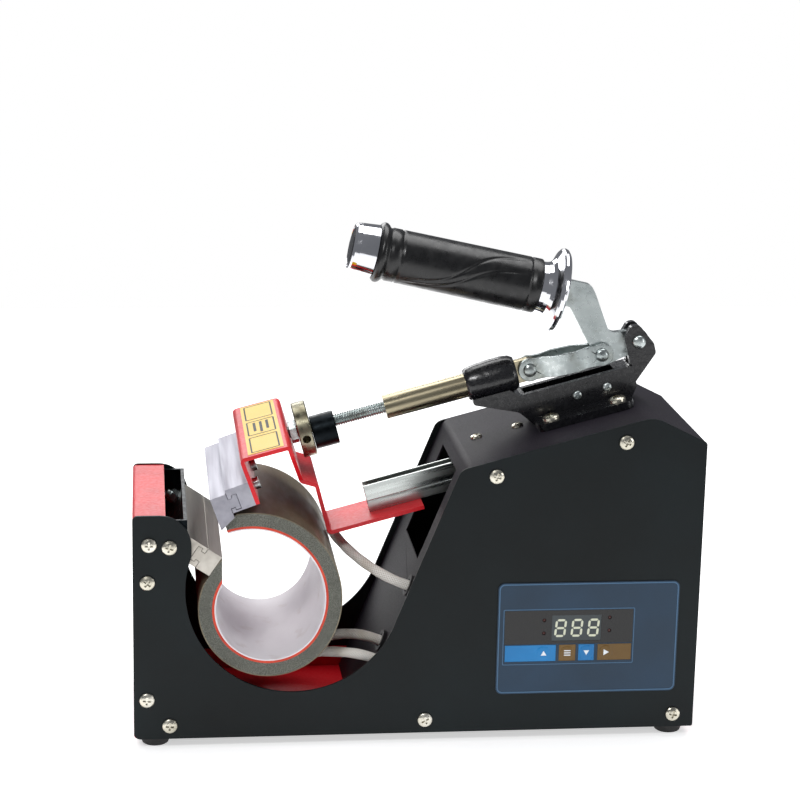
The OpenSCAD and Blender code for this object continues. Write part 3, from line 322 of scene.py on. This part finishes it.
def polished_alloy():
    f = Finish("polished_alloy", 0.07, metallic=1.0)
    f.colour([(0.3, "d5d6da"), (0.7, "eeeef2")], f.noise(30, 4))
    f.rough(f.noise(140, 5), 0.04, 0.16)
    f.bump(f.noise(70, 3), 0.04, 0.25)
    return f.material


def rubber(name, dark, light, rough=0.38):
    f = Finish(name, rough, specular=0.55)
    f.colour([(0.3, dark), (0.75, light)], f.noise(25, 4))
    f.rough(f.noise(160, 4), rough - 0.1, rough + 0.1)
    f.bump(f.noise(1500, 2), 0.04, 0.5)
    return f.material


def sponge():
    """Open-cell silicone foam, with pores of about half a millimetre."""
    f = Finish("sponge", 0.95, specular=0.15)
    pores = f.cells(1500)
    # Painted shade: the colour darkens towards the middle of each pore, where the foam dips.
    f.colour([(0.02, "2e2f2b"), (0.3, "62635c"), (0.7, "7f8078")], pores)
    f.over(f.spread(f.noise(45, 5), 0, 0.35), "4b4c46")
    f.bump(pores, 0.5, 0.9)
    return f.material


def jacket():
    """The heater's outer skin, a warm grey with a satin finish."""
    f = Finish("jacket_steel", 0.5, metallic=0.25, specular=0.4)
    f.colour([(0.2, "4b4334"), (0.5, "6f6552"), (0.8, "8d8471")], f.noise(26, 6, (1, 0.35, 1)))
    f.rough(f.noise(120, 4, (1, 0.3, 1)), 0.36, 0.6)
    f.bump(f.noise(480, 3, (1, 0.4, 1)), 0.12, 0.5)
    return f.material


def silicone_mat():
    f = Finish("silicone_mat", 0.5, specular=0.4)
    f.colour([(0.3, "b8321f"), (0.6, "d6432a"), (0.8, "e0563a")], f.noise(70, 4))
    f.bump(f.noise(700, 2), 0.06, 0.5)
    return f.material


def glass_cloth():
    """Smooth coated cloth: a faint weave under a soft sheen, with a few heat marks."""
    f = Finish("liner_cloth", 0.55, specular=0.3, sheen=0.15)
    f.colour([(0.25, "cfc6cc"), (0.5, "e2dde1"), (0.8, "efecee")], f.noise(18, 5, (1, 0.5, 1)))
    f.over(f.spread(f.noise(60, 6), 0, 0.4, 0.58, 0.75), "b9a89f")
    f.bump(weave(f, 900), 0.05, 0.5)
    return f.material


def weave(f, scale):
    """A plain weave over X-Z and Y, as a height."""
    a = f.tree.nodes.new("ShaderNodeTexWave")
    b = f.tree.nodes.new("ShaderNodeTexWave")
    a.bands_direction, b.bands_direction = "Y", "DIAGONAL"
    for node in (a, b):
        node.inputs["Scale"].default_value = scale
        f.link(f.place, node.inputs["Vector"])
    return f.math("MULTIPLY", a.outputs["Fac"], b.outputs["Fac"])


def sleeve():
    """Braided glass sleeve: crossing yarns laid by the tube's own map, a little scorched."""
    f = Finish("lead_sleeve", 0.75, specular=0.25, sheen=0.2)
    uv = f.tree.nodes.new("ShaderNodeTexCoord").outputs["UV"]
    strands = []
    for turn in (0.8, -0.8):
        wave = f.tree.nodes.new("ShaderNodeTexWave")
        wave.bands_direction = "X"
        wave.inputs["Scale"].default_value = 5.2
        f.link(f.coords((1, 1, 1), (0, 0, turn), uv), wave.inputs["Vector"])
        strands.append(wave.outputs["Fac"])
    braid = f.math("MAXIMUM", *strands)
    # Painted shade: the colour darkens in the gaps between the yarns, where the braid is lowest.
    f.colour([(0.1, "b4aca2"), (0.5, "dcd7ce"), (0.9, "efece6")], braid)
    f.over(f.spread(f.noise(45, 5), 0, 0.5, 0.5, 0.72), "b3a48d")
    f.bump(braid, 0.35, 0.8)
    return f.material


def film(name, dark, light, rough=0.35, coat=0.0):
    """Printed polyester film over a fine-textured face."""
    f = Finish(name, rough, coat=coat, coat_rough=0.08, specular=0.45)
    f.colour([(0.3, dark), (0.7, light)], f.noise(16, 4))
    f.rough(f.noise(1400, 2), rough - 0.05, rough + 0.08)
    f.bump(f.noise(1600, 2), 0.02, 0.4)
    return f.material


def moulded(name, dark, light, rough=0.45):
    f = Finish(name, rough, specular=0.45)
    f.colour([(0.3, dark), (0.7, light)], f.noise(40, 4))
    f.rough(f.noise(600, 2), rough - 0.08, rough + 0.1)
    f.bump(f.noise(1100, 2), 0.05, 0.4)
    return f.material


def lit(name, code, strength):
    f = Finish(name, 0.4)
    f.colour([(0.3, code), (0.7, code)], f.noise(300, 2))
    f.shader.inputs["Emission Color"].default_value = linear(code)
    f.shader.inputs["Emission Strength"].default_value = strength
    return f.material


# Directions that drawn metal runs in: across the machine, and up its slope.
SLOPE_TURN = (0, math.atan2(UP_SLOPE.z, UP_SLOPE.x), 0)
ACROSS = (1, 0.04, 1)
ALONG_SLOPE = (0.05, 1, 1)
# One finish for each material slot, made when it is first asked for.
MATERIALS = {
    "black_paint": lambda: powder_coat("black_paint", "060c0d", "0a1214", "0e191c"),
    # The pan's underside: painted shade, near black so no red light bounces off it onto the floor.
    "pan_underside": lambda: powder_coat("pan_underside", "060708", "0b0c0d", "101213"),
    # The cover is black; its lighter, purple-grey tone is a painted reflection of the light from above.
    "cover_paint": lambda: powder_coat("cover_paint", "151218", "1e1a22", "28232c", 0.5, 0.08, 1300),
    "red_paint": lambda: gloss_paint("red_paint", "b80a18", "d8101f", "e01c28", 0.36),
    "cast_black": cast_paint,
    "nickel_screw": lambda: worked_metal("nickel_screw", "a9a594", "d9d4c4", "efece2", 0.26, marks=0.3),
    "zinc_steel": lambda: worked_metal("zinc_steel", "9aa3a2", "c0c8c7", "dfe4e2", 0.3, stain="8d8f86"),
    "plunger_steel": lambda: worked_metal(
        "plunger_steel", "857b62", "b0a78d", "d4cdb8", 0.24, ALONG_SLOPE, SLOPE_TURN, 0.6, "6a5138"
    ),
    "bar_aluminium": lambda: worked_metal("bar_aluminium", "8d8c94", "a3a2ab", "b8b7bf", 0.5, ACROSS),
    "aged_aluminium": lambda: worked_metal("aged_aluminium", "a39d94", "bfbab1", "d8d4cc", 0.42, ACROSS),
    "rail_aluminium": lambda: worked_metal(
        "rail_aluminium", "a3a8a6", "c9cecb", "e6e9e6", 0.26, ALONG_SLOPE, SLOPE_TURN
    ),
    "polished_alloy": polished_alloy,
    "grip_rubber": lambda: rubber("grip_rubber", "0b0b0c", "171718", 0.32),
    "foot_rubber": lambda: rubber("foot_rubber", "0b0b0b", "191919", 0.7),
    "cap_plastic": lambda: moulded("cap_plastic", "0a0a0c", "151518", 0.2),
    "panel_film": lambda: film("panel_film", "122c40", "17364f", 0.45),
    "window_film": lambda: film("window_film", "040405", "070709", 0.25, 0.1),
    "display": lambda: film("display", "30373a", "3a4245", 0.3),
    "led": lambda: moulded("led", "30110f", "4a1c18", 0.2),
    "key_blue": lambda: film("key_blue", "0668a6", "0c80c2"),
    "key_brown": lambda: film("key_brown", "5c4214", "77581e"),
    "label_film": lambda: film("label_film", "e0b400", "e6bc00", 0.35),
    "sponge": sponge,
    "jacket_steel": jacket,
    "silicone_mat": silicone_mat,
    "liner_cloth": glass_cloth,
    "lead_sleeve": sleeve,
    "black_plastic": lambda: moulded("black_plastic", "0e0e10", "1a1a1d"),
    "board_green": lambda: moulded("board_green", "1d4a28", "2c6038", 0.35),
    "brass": lambda: worked_metal("brass", "9a8040", "c4a860", "dcc484", 0.28),
    "core_steel": lambda: worked_metal(
        "core_steel", "4a453f", "6a645c", "857e74", 0.45, (1, 0.05, 1)
    ),
    "heatsink": lambda: worked_metal("heatsink", "7a8086", "959ba1", "b4babf", 0.4, (1, 0.1, 1)),
    "terminal_plastic": lambda: moulded("terminal_plastic", "dcd8cb", "ebe7da"),
    "rocker_red": lambda: moulded("rocker_red", "7a0f0f", "941616", 0.25),
    "disc_steel": lambda: worked_metal("disc_steel", "6e6a58", "96927e", "c2bea8", 0.3, stain="5a4c36"),
    "black_oxide": lambda: worked_metal("black_oxide", "101315", "181c1f", "2a2f32", 0.36),
}
made = {}


def material(slot):
    if slot not in made:
        made[slot] = MATERIALS[slot]()
    return made[slot]


def own_material(name, build):
    """A finish that no slot has, for one kind of small piece."""
    if name not in made:
        made[name] = build()
    return made[name]


# ---------------------------------------------------------------- dressing the CAD nodes
# How far each node's sharp edges are rounded, in millimetres.
EDGE_MM = {
    "front_side_plate": 0.35,
    "rear_side_plate": 0.35,
    "base_pan": 0.5,
    "top_cover": 0.5,
    "carriage_bracket": 0.7,
    "column_bracket": 0.5,
    "clamp_body": 1.1,
    "lever_plate": 0.7,
    "link_plates": 0.6,
    "slide_rail": 0.3,
    "moving_rail_bar": 0.4,
    "moving_end_bar": 0.4,
    "fixed_rail_bar": 0.4,
    "fixed_end_bar": 0.4,
    "plunger": 0.5,
    "lock_nuts": 0.5,
    "lock_collar": 0.6,
    "power_inlet": 0.4,
    "switch_frame": 0.3,
    "power_switch": 0.5,
    "control_panel": 0.12,
}


def soften(o, width):
    """Rounds a node's sharp edges by a width in millimetres, with modifiers only."""
    weld = o.modifiers.new("weld", "WELD")
    weld.merge_threshold = 2e-6
    bevel = o.modifiers.new("bevel", "BEVEL")
    bevel.width = width * MM
    bevel.segments = 2
    bevel.limit_method = "ANGLE"
    bevel.angle_limit = math.radians(33)
    bevel.use_clamp_overlap = True
    bevel.harden_normals = False
    weighted = o.modifiers.new("normals", "WEIGHTED_NORMAL")
    weighted.keep_sharp = False
    weighted.weight = 80


def paint_underside(pan):
    """The pan is painted near black where it faces the bench: painted shade, so no red light bounces off it onto
    the floor.
    """
    facing_down = -0.9
    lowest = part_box("base_pan")[0].z + 1 * MM
    pan.data.materials.append(material("pan_underside"))
    for face in pan.data.polygons:
        if face.normal.z < facing_down and face.center.z < lowest:
            face.material_index = 1


def dress_nodes():
    slots = {s["node"]: s["material_slot"] for s in frame["record"]["subparts"]}
    for name, o in frame["nodes"].items():
        o.data.materials.clear()
        o.data.materials.append(material(slots[name]))
        if name == "base_pan":
            paint_underside(o)
        if name in EDGE_MM:
            soften(o, EDGE_MM[name])


# ---------------------------------------------------------------- mesh helpers
def piece(name, points, faces, body, slot, finish=None, smooth=True, uvs=None):
    mesh = bpy.data.meshes.new(name)
    mesh.from_pydata([tuple(p) for p in points], [], faces)
    if uvs:
        layer = mesh.uv_layers.new(name="UVMap")
        for loop in mesh.loops:
            layer.data[loop.index].uv = uvs[loop.vertex_index]
    bm = bmesh.new()
    bm.from_mesh(mesh)
    bmesh.ops.recalc_face_normals(bm, faces=bm.faces)
    bm.to_mesh(mesh)
    bm.free()
    mesh.polygons.foreach_set("use_smooth", [smooth] * len(mesh.polygons))
    o = bpy.data.objects.new(name, mesh)
    bpy.context.scene.collection.objects.link(o)
    mesh.materials.append(finish or material(slot))
    if body:
        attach(o, body)
    return o


def grid_faces(rows, columns, close_rows=False, close_columns=False):
    """Quads between the points of a grid that is stored row by row."""
    return [
        (i * columns + j, i * columns + (j + 1) % columns,
         (i + 1) % rows * columns + (j + 1) % columns, (i + 1) % rows * columns + j)
        for i in range(rows if close_rows else rows - 1)
        for j in range(columns if close_columns else columns - 1)
    ]


def turned(profile, centre, direction, steps, relief):
    """A profile of (distance along, radius) turned about an axis; relief(t, angle) adds to it."""
    side = direction.cross(BACK).normalized()
    points = []
    for t, r in profile:
        for k in range(steps):
            a = 2 * math.pi * k / steps
            radius = r + relief(t, a)
            points.append(centre + direction * t + radius * (math.cos(a) * side + math.sin(a) * BACK))
    return points


def plate_prism(name, outline, origin, across, up, depth, body, slot, finish=None):
    """A thin raised shape: its outline in metres on a face, standing out of it by depth."""
    out = across.cross(up).normalized()
    n = len(outline)
    low = [origin + across * x + up * z for x, z in outline]
    points = low + [p + out * depth for p in low]
    faces = [tuple(range(n)), tuple(range(2 * n - 1, n - 1, -1))]
    faces += [(i, (i + 1) % n, n + (i + 1) % n, n + i) for i in range(n)]
    return piece(name, points, faces, body, slot, finish, smooth=False)


def rounded_rect(x0, z0, x1, z1, r, steps=5):
    corners = [(x1 - r, z0 + r, -90), (x1 - r, z1 - r, 0), (x0 + r, z1 - r, 90), (x0 + r, z0 + r, 180)]
    points = []
    for x, z, start in corners:
        for k in range(steps + 1):
            a = math.radians(start + 90 * k / steps)
            points.append((x + r * math.cos(a), z + r * math.sin(a)))
    return points


def frame_ring(name, outer, inner, origin, across, up, depth, body, slot, finish):
    """A thin raised line between two outlines with the same number of points."""
    out = across.cross(up).normalized()
    n = len(outer)
    flat = [origin + across * x + up * z for x, z in outer + inner]
    points = flat + [p + out * depth for p in flat]
    faces = []
    for i in range(n):
        j = (i + 1) % n
        faces += [(i, j, n + j, n + i), (2 * n + i, 3 * n + i, 3 * n + j, 2 * n + j),
                  (i, 2 * n + i, 2 * n + j, j), (n + i, n + j, 3 * n + j, 3 * n + i)]
    return piece(name, points, faces, body, slot, finish, smooth=False)


# ---------------------------------------------------------------- heater
# The held half is round MUG. The open half is drawn round OPEN_CENTRE with a radius that is
# OPEN_EXTRA larger, so the two meet smoothly at JOIN_ANGLE.
OPEN_EXTRA = 15.2 * MM
JOIN_ANGLE = -28.0
OPEN_END = 108.5
BOTTOM = 268.0
# The held half's end is an upright cut this far to the left of the mug's centre; the angle only
# sets how many steps that half is swept in.
END_CUT = 35.2 * MM
HELD_START = 140.0
# Directions in which the two clamp bars' faces look back at the heater, and how far off they lie.
FIXED_TILT = 146.0
MOVING_TILT = 135.74
FIXED_REACH = MUG_R + 12.0 * MM
MOVING_REACH = 55.25 * MM
# Each layer: node, material slot, and the millimetres off the inner surface where it starts and stops.
LAYERS = [
    ("heater_liner", "liner_cloth", 0.0, 1.0),
    ("heater_mat", "silicone_mat", 1.0, 2.8),
    ("heater_sponge", "sponge", 2.8, 12.4),
    ("heater_jacket", "jacket_steel", 12.4, 13.2),
]
PAD = 13.2 * MM
SPONGE_BULGE = 0.5 * MM
SPLIT_ANGLE = math.radians(50)


def in_profile(angle):
    """The direction at an angle in degrees, seen from the front."""
    a = math.radians(angle)
    return Vector((math.cos(a), 0, math.sin(a)))


OPEN_CENTRE = MUG - OPEN_EXTRA * in_profile(JOIN_ANGLE)


def ring_point(angle, off):
    """A point off the heater's inner surface; angles past 360 are on its open half."""
    if angle <= 360 + JOIN_ANGLE:
        return MUG + (MUG_R + off) * in_profile(angle)
    return OPEN_CENTRE + (MUG_R + OPEN_EXTRA + off) * in_profile(angle)


def pressed(p, held):
    """Flattens the heater where a clamp bar's face presses into it."""
    if held:
        centre, face, reach = MUG, in_profile(FIXED_TILT), FIXED_REACH
    else:
        centre, face, reach = OPEN_CENTRE, in_profile(MOVING_TILT), MOVING_REACH
    return p - face * max(0.0, (p - centre).dot(face) - reach)


def start_angle(off):
    """Where the held end's upright cut meets a ring that stands off the inner surface."""
    return 180 - math.degrees(math.acos(END_CUT / (MUG_R + off)))


def layer_piece(name, node, slot, inner, outer, start, stop, held):
    """One layer of one half: closed rings of points, swept from start to stop."""
    steps = max(8, int((stop - start) / 3))
    lo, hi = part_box(node)
    half = (hi.y - lo.y) / 2
    bulge = SPONGE_BULGE if slot == "sponge" else 0.0
    middle = (inner + outer) / 2
    across = (-1, -0.5, 0, 0.5, 1)
    ring = [(inner, side) for side in across] + [(middle, 1)]
    ring += [(outer, side) for side in reversed(across)] + [(middle, -1)]
    points = []
    for i in range(steps + 1):
        for off, side in ring:
            first = start_angle(off) if held else start
            p = ring_point(first + (stop - first) * i / steps, off)
            p.y = side * half
            if off == middle:
                p.y -= side * bulge * (0.7 + 0.3 * math.sin(i * 1.7))
            points.append(pressed(p, held))
    n = len(ring)
    faces = grid_faces(steps + 1, n, close_columns=True)
    faces += [tuple(range(n)), tuple(range(steps * n + n - 1, steps * n - 1, -1))]
    return piece(name, points, faces, "frame" if held else None, slot, smooth=slot != "silicone_mat")


def make_heater():
    for node, slot, low, high in LAYERS:
        layer = (node, slot, low * MM, high * MM)
        held = layer_piece(node + "_held", *layer, HELD_START, BOTTOM, True)
        free = layer_piece(node + "_free", *layer, BOTTOM, 360 + OPEN_END, False)
        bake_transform(free)
        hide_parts(node)
        for o in (held, free):
            o.modifiers.new("edges", "EDGE_SPLIT").split_angle = SPLIT_ANGLE


# ---------------------------------------------------------------- heater leads
LEAD_R = 4.0 * MM
# The housing's left wall, in millimetres from the body's lower left corner.
WALL_TOP = (249.05, 209.44)
WALL_LEAN = 21.65
WALL_IN = in_profile(-WALL_LEAN)
# A lead runs straight for this long before the wall and this long past it.
LEAD_STRAIGHT = 6 * MM
LEAD_PAST = 12 * MM
CURVE_STEPS = 40
STRAIGHT_STEPS = 8
# Each lead: whether it leaves the open half, angle there, its y, how far the curve is pulled along
# at each end, and the y and height of its hole in the wall; millimetres and degrees.
LEADS = [
    (True, 25, 12, (8, 34), (-50, 110.1)),
    (False, -60, -16, (12, 26), (-38, 61.9)),
    (False, -80, -20, (16, 26), (-60, 54)),
]


def wall_point(y, z):
    """A point of the wall at a y and a height."""
    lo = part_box("front_side_plate")[0]
    x = WALL_TOP[0] - (WALL_TOP[1] - z) * math.tan(math.radians(WALL_LEAN))
    return Vector((lo.x + x * MM, y * MM, lo.z + z * MM))


def lead_path(on_open, angle, y, pull, hole):
    """A lead's middle line: a cubic curve off the jacket, then straight through the wall."""
    out = in_profile(angle)
    centre, radius = (OPEN_CENTRE, MUG_R + OPEN_EXTRA) if on_open else (MUG, MUG_R)
    start = centre + (radius + PAD + LEAD_R) * out
    start.y = y * MM
    along = Vector((abs(out.z), 0, -out.x if on_open else out.x))
    inside = wall_point(*hole)
    stop = inside - LEAD_STRAIGHT * WALL_IN
    near, far = start + pull[0] * MM * along, stop - pull[1] * MM * WALL_IN
    curve = []
    for k in range(CURVE_STEPS + 1):
        t = k / CURVE_STEPS
        u = 1 - t
        curve.append(u**3 * start + 3 * u * u * t * near + 3 * u * t * t * far + t**3 * stop)
    end = inside + LEAD_PAST * WALL_IN
    return curve + [stop.lerp(end, k / STRAIGHT_STEPS) for k in range(1, STRAIGHT_STEPS + 1)]


def tube(name, path, radius, body, slot, sides=20):
    """A sleeved lead, with a few soft swellings where the braid bunches up."""
    points, uvs, run = [], [], 0.0
    for i, p in enumerate(path):
        ahead = (path[min(i + 1, len(path) - 1)] - path[max(i - 1, 0)]).normalized()
        side = ahead.cross(BACK).normalized()
        top = side.cross(ahead)
        run += (p - path[i - 1]).length if i else 0.0
        r = radius * (1 - 0.06 * (0.5 + 0.5 * math.sin(run / MM * 0.31 + 1.3)))
        for k in range(sides + 1):
            a = 2 * math.pi * k / sides
            points.append(p + r * (math.cos(a) * side + math.sin(a) * top))
            uvs.append((k / sides, run / (2 * math.pi * radius)))
    faces = grid_faces(len(path), sides + 1)
    faces += [tuple(range(sides)), tuple(range(len(points) - 2, len(points) - 2 - sides, -1))]
    return piece(name, points, faces, body, slot, uvs=uvs)


def make_leads():
    """The first lead hangs off the open half and is given no body; the other two stay with the frame."""
    for k, (on_open, *rest) in enumerate(LEADS):
        path = lead_path(on_open, *rest)
        body = None if on_open else "frame"
        lead = tube(f"heater_lead_{k + 1}", path, LEAD_R, body, "lead_sleeve")
        if on_open:
            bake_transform(lead)
            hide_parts("heater_leads")


# ---------------------------------------------------------------- threaded rod
ROD_R = 5 * MM
THREAD_PITCH = 1.9 * MM
THREAD_DEPTH = 1.25 * MM
THREAD_SIDES = 28
ROWS_PER_PITCH = 4


def make_rod():
    """The adjusting rod with a real thread: a ridge wound along it."""
    centre, direction = axis_of("adjusting_rod")
    near, far = span_on("adjusting_rod", centre, -direction)
    rows = int((far - near) / THREAD_PITCH * ROWS_PER_PITCH)
    steps = THREAD_SIDES
    up = -direction
    side = up.cross(BACK).normalized()
    points = []
    for i in range(rows + 1):
        for k in range(steps):
            a = 2 * math.pi * k / steps
            along = near + (far - near) * i / rows
            phase = (along / THREAD_PITCH + k / steps) % 1
            r = ROD_R - THREAD_DEPTH * abs(2 * phase - 1)
            points.append(centre + up * along + r * (math.cos(a) * side + math.sin(a) * BACK))
    faces = grid_faces(rows + 1, steps, close_columns=True)
    faces += [tuple(range(steps)), tuple(range(len(points) - 1, len(points) - 1 - steps, -1))]
    rod = piece("threaded_rod", points, faces, "adjuster", "zinc_steel", smooth=False)
    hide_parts("adjusting_rod")


# ---------------------------------------------------------------- rubber grip
GRIP_R = 21 * MM
GRIP_BORE = 12.75 * MM
GRIP_STEPS = 144
GRIP_ROWS = 110
# The collar by the tip: millimetres past the start of the tail, and past the grip's radius.
GRIP_TAIL = [
    (-9.4, -0.6), (-8.9, -1.3), (-7.9, -1.3), (-7.4, -0.6), (-1.2, -0.6), (0.2, -1.3), (1.2, -1.3),
    (2.2, -0.4), (3.2, 0.8), (4.4, 1.6), (5.8, 2.0), (7.2, 1.8), (8.4, 0.9), (9.2, -0.2), (9.6, -0.9),
]
GROOVE_DEPTH = 0.75 * MM
GROOVE_WIDTH = 0.055
GROOVE_TURN = 0.95
# Two grooves on each side of the grip: how far each is turned on, and how much of the sweep it has.
GROOVES = ((0.0, 1.0), (0.42, 0.8))


def make_grip():
    """The grip: end rings, a raised collar by its tip and long curved grooves round its middle."""
    centre, direction = axis_of("handle_tube")
    near, far = span_on("grip_sleeve", centre, direction)
    r = GRIP_R
    tail = far - near - 10 * MM
    ring = 8.2 * MM
    profile = [(0, GRIP_BORE), (0, r - 0.9 * MM), (0.3 * MM, r - 0.3 * MM), (1 * MM, r)]
    profile += [(ring - 0.5 * MM, r), (ring, r - 0.7 * MM)]
    profile += [(ring + 0.9 * MM, r - 0.7 * MM), (ring + 1.4 * MM, r)]
    first, last = 11 * MM, tail - 11 * MM
    for i in range(GRIP_ROWS + 1):
        share = i / GRIP_ROWS
        profile.append((first + (last - first) * share, r - 0.6 * MM * share))
    profile += [(tail + t * MM, r + dr * MM) for t, dr in GRIP_TAIL]
    profile.append((tail + GRIP_TAIL[-1][0] * MM, GRIP_BORE))

    def relief(t, a):
        x = (t - first) / (last - first)
        if not 0.02 < x < 0.98:
            return 0.0
        depth = 0.0
        sweep = GROOVE_TURN * math.tanh((x - 0.5) * 4.2)
        for side in (0, math.pi):
            for lead, bend in GROOVES:
                line = side + math.pi * 1.5 + bend * sweep + lead - 0.2
                gap = abs((a - line + math.pi) % (2 * math.pi) - math.pi)
                depth = max(depth, math.exp(-((gap / GROOVE_WIDTH) ** 2)))
        fade = min(1.0, (x - 0.02) / 0.12, (0.98 - x) / 0.12)
        return -GROOVE_DEPTH * depth * fade

    points = turned(profile, centre + direction * near, direction, GRIP_STEPS, relief)
    faces = grid_faces(len(profile), GRIP_STEPS, close_columns=True, close_rows=True)
    grip = piece("rubber_grip", points, faces, "lever", "grip_rubber")
    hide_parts("grip_sleeve")
    grip.modifiers.new("edges", "EDGE_SPLIT").split_angle = math.radians(60)


# ---------------------------------------------------------------- panel, display and label
RIGHT, UP = Vector((1, 0, 0)), Vector((0, 0, 1))
PRINT = 0.12 * MM
THIN_PRINT = 0.1 * MM


def printed(name, code, rough=0.4):
    return own_material(name, lambda: film(name, code, code, rough))


def arrow(size, up):
    s = size if up else -size
    left, right, tip = (-size, -s * 0.8), (size, -s * 0.8), (0, s * 0.9)
    return [left, right, tip] if up else [left, tip, right]


def box_on_panel(node):
    """A node's outline in panel coordinates, from the panel's lower left corner."""
    lo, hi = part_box(node)
    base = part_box("control_panel")[0]
    return lo.x - base.x, lo.z - base.z, hi.x - base.x, hi.z - base.z


def border(name, box, out, inside, r, inner_r, origin, finish):
    """A printed line round a box on the panel: its outer and inner edges, and their corners."""
    x0, z0, x1, z1 = box
    outer, inner = (
        rounded_rect(x0 - d[0], z0 - d[1], x1 + d[0], z1 + d[2], radius)
        for d, radius in ((out, r), (inside, inner_r))
    )
    frame_ring(name, outer, inner, origin, RIGHT, UP, PRINT, "frame", "panel_film", finish)


def make_panel():
    lo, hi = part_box("control_panel")
    origin = lo.copy()
    pale = printed("print_pale", "3f6484")
    edge, line = -0.8 * MM, -1.7 * MM
    panel = (0, 0, hi.x - lo.x, hi.z - lo.z)
    border("panel_border", panel, (edge,) * 3, (line,) * 3, 4.4 * MM, 3.5 * MM, origin, pale)
    # The window's line also runs round the keys below it.
    outer, inner = (1.2 * MM, 16.6 * MM, 1.2 * MM), (0.6 * MM, 16.0 * MM, 0.6 * MM)
    window = box_on_panel("display_window")
    border("window_border", window, outer, inner, 1 * MM, 0.6 * MM, origin, pale)
    make_digits()
    make_key_marks()


# Each segment: where it starts, in widths and half heights of the digit, then 1 where it runs
# across and 1 where it runs up.
SEGMENTS = [
    (0, 0, 1, 0), (0, 1, 1, 0), (0, 2, 1, 0), (0, 0, 0, 1), (0, 1, 0, 1), (1, 0, 0, 1), (1, 1, 0, 1)
]
DIGITS = 3
DIGIT_WIDE = 7.0 * MM
DIGIT_HALF = 6.3 * MM
SEGMENT_BAR = 0.85 * MM
SEGMENT_GAP = 0.45 * MM
DIGIT_LEAN = 0.09
DIGIT_SHIFT = 0.6 * MM


def segment(start, end):
    """A bar with pointed ends between two corners of a digit."""
    along = Vector((end[0] - start[0], end[1] - start[1])).normalized()
    side = SEGMENT_BAR * Vector((-along.y, along.x))
    a = Vector(start) + SEGMENT_GAP * along
    b = Vector(end) - SEGMENT_GAP * along
    point = SEGMENT_BAR * along
    return [a, a + point - side, b - point - side, b, b - point + side, a + point + side]


def make_digits():
    """Three seven-segment digits, all segments showing, leaning a little."""
    lo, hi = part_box("digit_display")
    finish = own_material("segment", lambda: lit("segment", "c9ccb6", 0.12))
    pitch = (hi.x - lo.x) / DIGITS
    foot = (hi.z - lo.z) / 2 - DIGIT_HALF
    for d in range(DIGITS):
        left = pitch * (d + 0.5) - DIGIT_WIDE / 2 - DIGIT_SHIFT
        for s, (column, row, right, up) in enumerate(SEGMENTS):
            a = (left + column * DIGIT_WIDE, foot + row * DIGIT_HALF)
            b = (a[0] + right * DIGIT_WIDE, a[1] + up * DIGIT_HALF)
            lean = [(p.x + DIGIT_LEAN * p.y, p.y) for p in segment(a, b)]
            name = f"digit_{d + 1}_segment_{s + 1}"
            plate_prism(name, lean, lo.copy(), RIGHT, UP, PRINT, "frame", "display", finish)


# A key's raised front is what lies within this depth of its foremost point.
KEY_FRONT = 0.12 * MM


def key_marks():
    """Each key's body, and the outlines of the marks on it."""
    rows = [
        rounded_rect(-2.6 * MM, (k * 1.8 - 0.4) * MM, 2.6 * MM, (k * 1.8 + 0.4) * MM, 0.3 * MM, 2)
        for k in (-1, 0, 1)
    ]
    play = [(-1.8 * MM, -2.4 * MM), (2.4 * MM, 0), (-1.8 * MM, 2.4 * MM)]
    return {
        "button_up": ("up_key", [arrow(2.2 * MM, True)]),
        "button_set": ("set_key", rows),
        "button_down": ("down_key", [arrow(2.2 * MM, False)]),
        "button_start": ("start_key", [play]),
    }


def make_key_marks():
    """The marks sit on the middle of each key's raised front."""
    white = printed("print_white", "e8eef2")
    for name, (body, marks) in key_marks().items():
        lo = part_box(name)[0]
        front = [v.co for v in frame["nodes"][name].data.vertices if v.co.y < lo.y + KEY_FRONT]
        x = sum(v.x for v in front) / len(front)
        z = sum(v.z for v in front) / len(front)
        for k, shape in enumerate(marks):
            plate_prism(f"{name}_mark_{k + 1}", shape, Vector((x, lo.y, z)), RIGHT, UP,
                        THIN_PRINT, body, "panel_film", white)


def make_label():
    """The yellow label's plain black bars, and a black line round each of its three parts."""
    lo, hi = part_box("carriage_label")
    node = frame["nodes"]["carriage_label"]
    centre = sum((v.co for v in node.data.vertices), Vector()) / len(node.data.vertices)
    reach = [(v.co - centre).dot(UP_SLOPE) for v in node.data.vertices]
    top = max((v.co - centre).dot(OFF_SLOPE) for v in node.data.vertices)
    half_w, half_l = max(reach), (hi.y - lo.y) / 2
    face = (centre + OFF_SLOPE * top, -BACK, UP_SLOPE, THIN_PRINT, "carriage", "label_film")
    ink = printed("print_black", "17150c", 0.5)
    inset, line = 2.5 * MM, 1.2 * MM
    low, high = -half_w + inset, half_w - inset
    parts = ((-half_l + 3 * MM, -26 * MM), (-20 * MM, 20 * MM), (26 * MM, half_l - 3 * MM))
    for k, (y0, y1) in enumerate(parts):
        outer = rounded_rect(y0, low, y1, high, 1.5 * MM)
        inner = rounded_rect(y0 + line, low + line, y1 - line, high - line, 1 * MM)
        frame_ring(f"label_frame_{k + 1}", outer, inner, *face, ink)
    for k in range(3):
        z = (k - 1) * 5 * MM
        end = 15 * MM - abs(k - 1) * 5 * MM
        bar = rounded_rect(-15 * MM, z - 1.1 * MM, end, z + 1.1 * MM, 0.5 * MM, 3)
        plate_prism(f"label_bar_{k + 1}", bar, *face, ink)


make_camera()
make_studio()
dress_nodes()
make_heater()
make_leads()
make_rod()
make_grip()
make_panel()
make_label()
